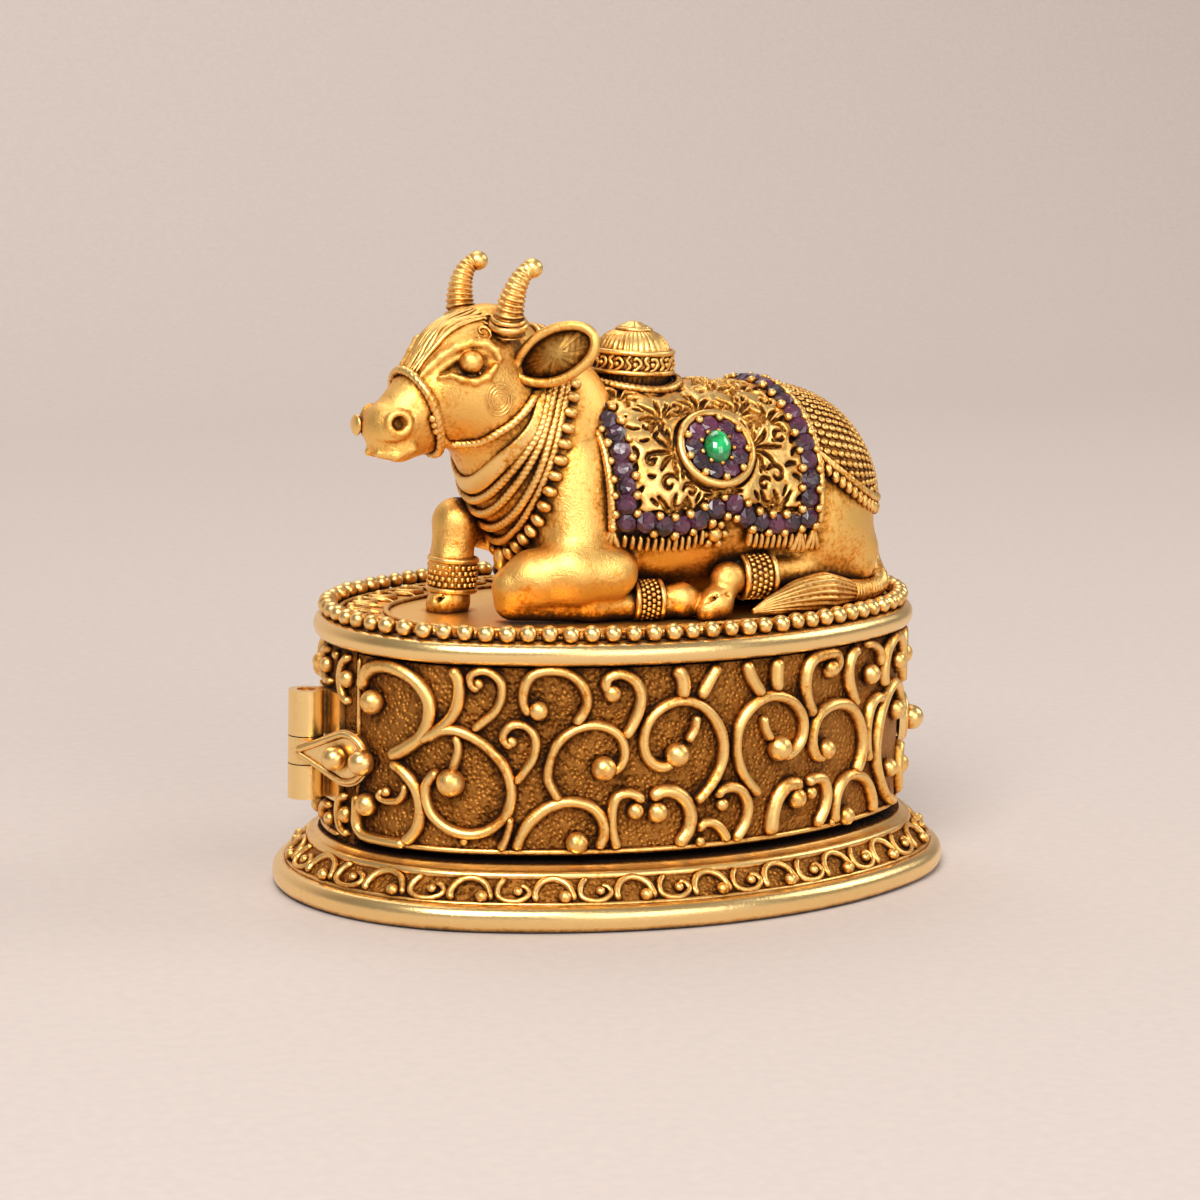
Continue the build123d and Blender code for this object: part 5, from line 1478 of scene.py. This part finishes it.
for line in (STONES_LEFT, STONES_BOTTOM, STONES_RIGHT):
    for spot in line:
        for flip in FLIPS:
            centre, axes = at_cloth(spot, flip, 0.18)
            tilt = axes + 0.08 * rng.normal(size=(3, 3))
            gem(gems, centre, 0.92 * (1 + 0.05 * rng.normal()), axes_from(tilt[2], tilt[0]), 0.75)
    for (x0, a0), (x1, a1) in zip(line, line[1:]):
        ahead = unit(np.array([x1 - x0, (a1 - a0) * ARC]))
        for out in (-1, 1):
            x = (x0 + x1) / 2 - ahead[1] * out * 0.80
            angle = (a0 + a1) / 2 + ahead[0] * out * 0.80 / ARC
            for flip in FLIPS:
                spot = (x, over(angle, flip) * ARC)
                ball_on(prongs, on_cloth, spot, 0.40 * (1 + 0.06 * rng.normal()), 0.75, fine=8)

for points, radius in (
    ([(-5.75, 80), (-5.85, 60), (-5.7, 40), (-5.75, 20), (-5.7, 0), (-5.6, -7)], 0.38),
    ([(14.0, 92), (14.1, 60), (14.1, 30), (13.9, 5), (13.7, -7.5)], 0.32),
):
    for flip in FLIPS:
        spots, outward = on_cloth(smooth_path(flipped(points, flip), 0.3))
        rope_3d(prongs, spots + outward * 0.16, radius, 0.9, False, 8)

# Fringe: short drops under the hem, and a tassel at each corner
for x in np.concatenate([np.arange(-4.6, 2.3, 0.62), np.arange(6.9, 12.6, 0.62)]):
    start = float(hem_angle(x)) - 4.0
    for flip in FLIPS:
        path = flipped([(x, start), (x + 0.03, start - 4.5), (x, start - 9.0)], flip)
        wire_on(prongs, on_cloth, path, 0.5, 0.3, 6, 0.25, (0.8, 1.0), 0.05, 0.4)
for x, angle in ((-5.6, -10.0), (13.3, -12.0), (12.0, -13.0)):
    for flip in FLIPS:
        for k in (-1, 0, 1):
            path = [(x, angle + 2.5), (x + k * 0.25, angle - 3.0), (x + k * 0.62, angle - 9.5)]
            wire_on(prongs, on_cloth, flipped(path, flip), 0.62, 0.42, 8, 0.2, (0.5, 1.2), 0.05, 0.5)
        ball_on(prongs, on_cloth, (x, over(angle + 3, flip) * ARC), 0.42, 0.5, fine=8)

# Floral boss under the notch of the hem
for flip in FLIPS:
    centre, axes = at_cloth((3.5, -11.0), flip, -0.35)
    ball(prongs, centre, (0.75, 0.75, 0.8), axes)
    for k in range(6):
        petal = cos(k * tau / 6) * axes[0] + sin(k * tau / 6) * axes[1]
        ball(prongs, centre + petal * 0.95, (0.52, 0.42, 0.5), framed(petal, axes[2]), 8)

# Medallion: a cabochon in a ring of stones
for flip, name, nodes in ((1, "near", ["medallion_cabochons"]), (-1, "far", ())):
    centre, axes = at_cloth(MEDALLION, flip, 0.05)
    sweep_3d(prongs, circle(centre, 3.25, axes, 64) + axes[2] * 0.15, 0.40, 10, True)
    disc = [circle(centre + axes[2] * h, r, axes, 64) for r, h in ((3.3, -0.8), (3.2, 0.1), (0.1, 0.15))]
    rings_to_heap(prongs, np.array(disc))
    for k in range(9):
        angle = (k + 0.3) / 9 * tau
        place = centre + axes[2] * 0.42 + 2.12 * (cos(angle) * axes[0] + sin(angle) * axes[1])
        gem(gems, place, 0.84, axes)
        angle = (k + 0.3 + 0.5) / 9 * tau
        for reach, radius in ((2.78, 0.36), (1.5, 0.26)):
            place = centre + axes[2] * 0.5 + reach * (cos(angle) * axes[0] + sin(angle) * axes[1])
            ball(prongs, place, (radius,) * 3, None, 8)
    cabochon = Heap()
    lean = axes_from(axes[2], axes[0] * cos(1.35) + axes[1] * sin(1.35))
    ball(cabochon, centre + axes[2] * 0.55, (1.5, 1.18, 0.95), lean, 20)
    cabochon.make(f"cabochon_{name}", green, nodes, slot="green_stone")
gems.make("purple_stones", purple, ["border_stones", "medallion_stones"], slot="purple_stone", smooth=False)
prongs.make("saddle_trim", relief_gold, ["medallion_bezels"])

# CAD nodes that are shown as they are
for material, nodes in (
    (ground_gold, ("foot_casting", "front_wall", "rear_wall")),
    # The plate under the box and the tray inside it take the dimmer gold: painted shade.
    (inner_gold, ("bottom_plate", "powder_tray")),
    (gold, ("deck_plate",)),
    (polished_gold, ("hinge_knuckle_lower", "hinge_knuckle_upper", "hinge_pin", "hinge_leaf")),
    (polished_gold, ("clasp_tongue",)),
    (smooth_gold, ("catch_bead",)),
):
    for node in nodes:
        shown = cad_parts[node].data
        shown.materials.clear()
        shown.materials.append(material)
        for polygon in shown.polygons:
            polygon.material_index = 0

# Stage: a pale table that runs up into a pale backdrop. Lengths are in metres from here on.
PALE, CLOUDING = (0.60, 0.525, 0.485), 0.03
BEND_Y, BEND_RADIUS = 0.30, 0.3
floor_material = cloudy(
    "table_top", [c * (1 - CLOUDING) for c in PALE], [c * (1 + CLOUDING) for c in PALE], 900, 8, (0.3, 0.7),
    {"Roughness": 0.85, "Specular IOR Level": 0.15},
)
side_view = [(-0.9, 0.0), (BEND_Y, 0.0)]
for a in np.linspace(0.1, pi / 2, 12):
    side_view.append((BEND_Y + BEND_RADIUS * sin(a), BEND_RADIUS - BEND_RADIUS * cos(a)))
side_view.append((0.60, 1.2))
floor_mesh = bpy.data.meshes.new("table_top")
verts = [(x, y, z) for y, z in side_view for x in (-1.5, 1.5)]
faces = [(2 * k, 2 * k + 1, 2 * k + 3, 2 * k + 2) for k in range(len(side_view) - 1)]
floor_mesh.from_pydata(verts, [], faces)
for polygon in floor_mesh.polygons:
    polygon.use_smooth = True
floor_mesh.materials.append(floor_material)
floor = bpy.data.objects.new("table_top", floor_mesh)
bpy.context.scene.collection.objects.link(floor)

# Camera, at the photograph's angle. Its aim and distance are in mm.
AIM, DISTANCE = Vector((-1.86, 0, 24.08)), 334
yaw, pitch, roll = radians(-29.0), radians(9.56), radians(1.3)
back = Vector((sin(yaw) * cos(pitch), -cos(yaw) * cos(pitch), sin(pitch)))
right = (-back).cross(Vector((0, 0, 1))).normalized()
up = right.cross(-back)
right, up = right * cos(roll) + up * sin(roll), -right * sin(roll) + up * cos(roll)
camera = bpy.data.cameras.new("camera")
camera.sensor_width, camera.lens = 36.0, 115.2
camera.clip_start, camera.clip_end = 0.01, 10.0
eye = bpy.data.objects.new("camera", camera)
turn = Matrix((right, up, back)).transposed()
eye.matrix_world = Matrix.Translation(AIM * MM + back * DISTANCE * MM) @ turn.to_4x4()
bpy.context.scene.collection.objects.link(eye)
bpy.context.scene.camera = eye

# Soft studio light
for name, place, size, power, colour in (
    ("key", (-0.42, -0.50, 0.62), 0.42, 7.0, (1.0, 0.98, 0.96)),
    ("front", (0.10, -0.80, 0.28), 0.5, 2.1, (1.0, 0.98, 0.96)),
    ("right", (0.65, -0.15, 0.45), 0.35, 1.5, (1.0, 0.97, 0.94)),
    ("rear", (0.05, 0.35, 0.75), 0.5, 2.0, (1.0, 0.98, 0.96)),
):
    lamp = bpy.data.lights.new(name, "AREA")
    lamp.size, lamp.energy, lamp.color = size, power, colour
    holder = bpy.data.objects.new(name, lamp)
    holder.location = place
    holder.rotation_euler = (Vector(place) - Vector((0, 0, 0.025))).to_track_quat("Z", "Y").to_euler()
    bpy.context.scene.collection.objects.link(holder)
world = bpy.data.worlds.new("world")
bpy.context.scene.world = world
world.use_nodes = True
background = world.node_tree.nodes["Background"]
background.inputs["Color"].default_value = (0.82, 0.77, 0.73, 1)
background.inputs["Strength"].default_value = 0.32
bpy.context.scene.view_settings.view_transform = "Standard"
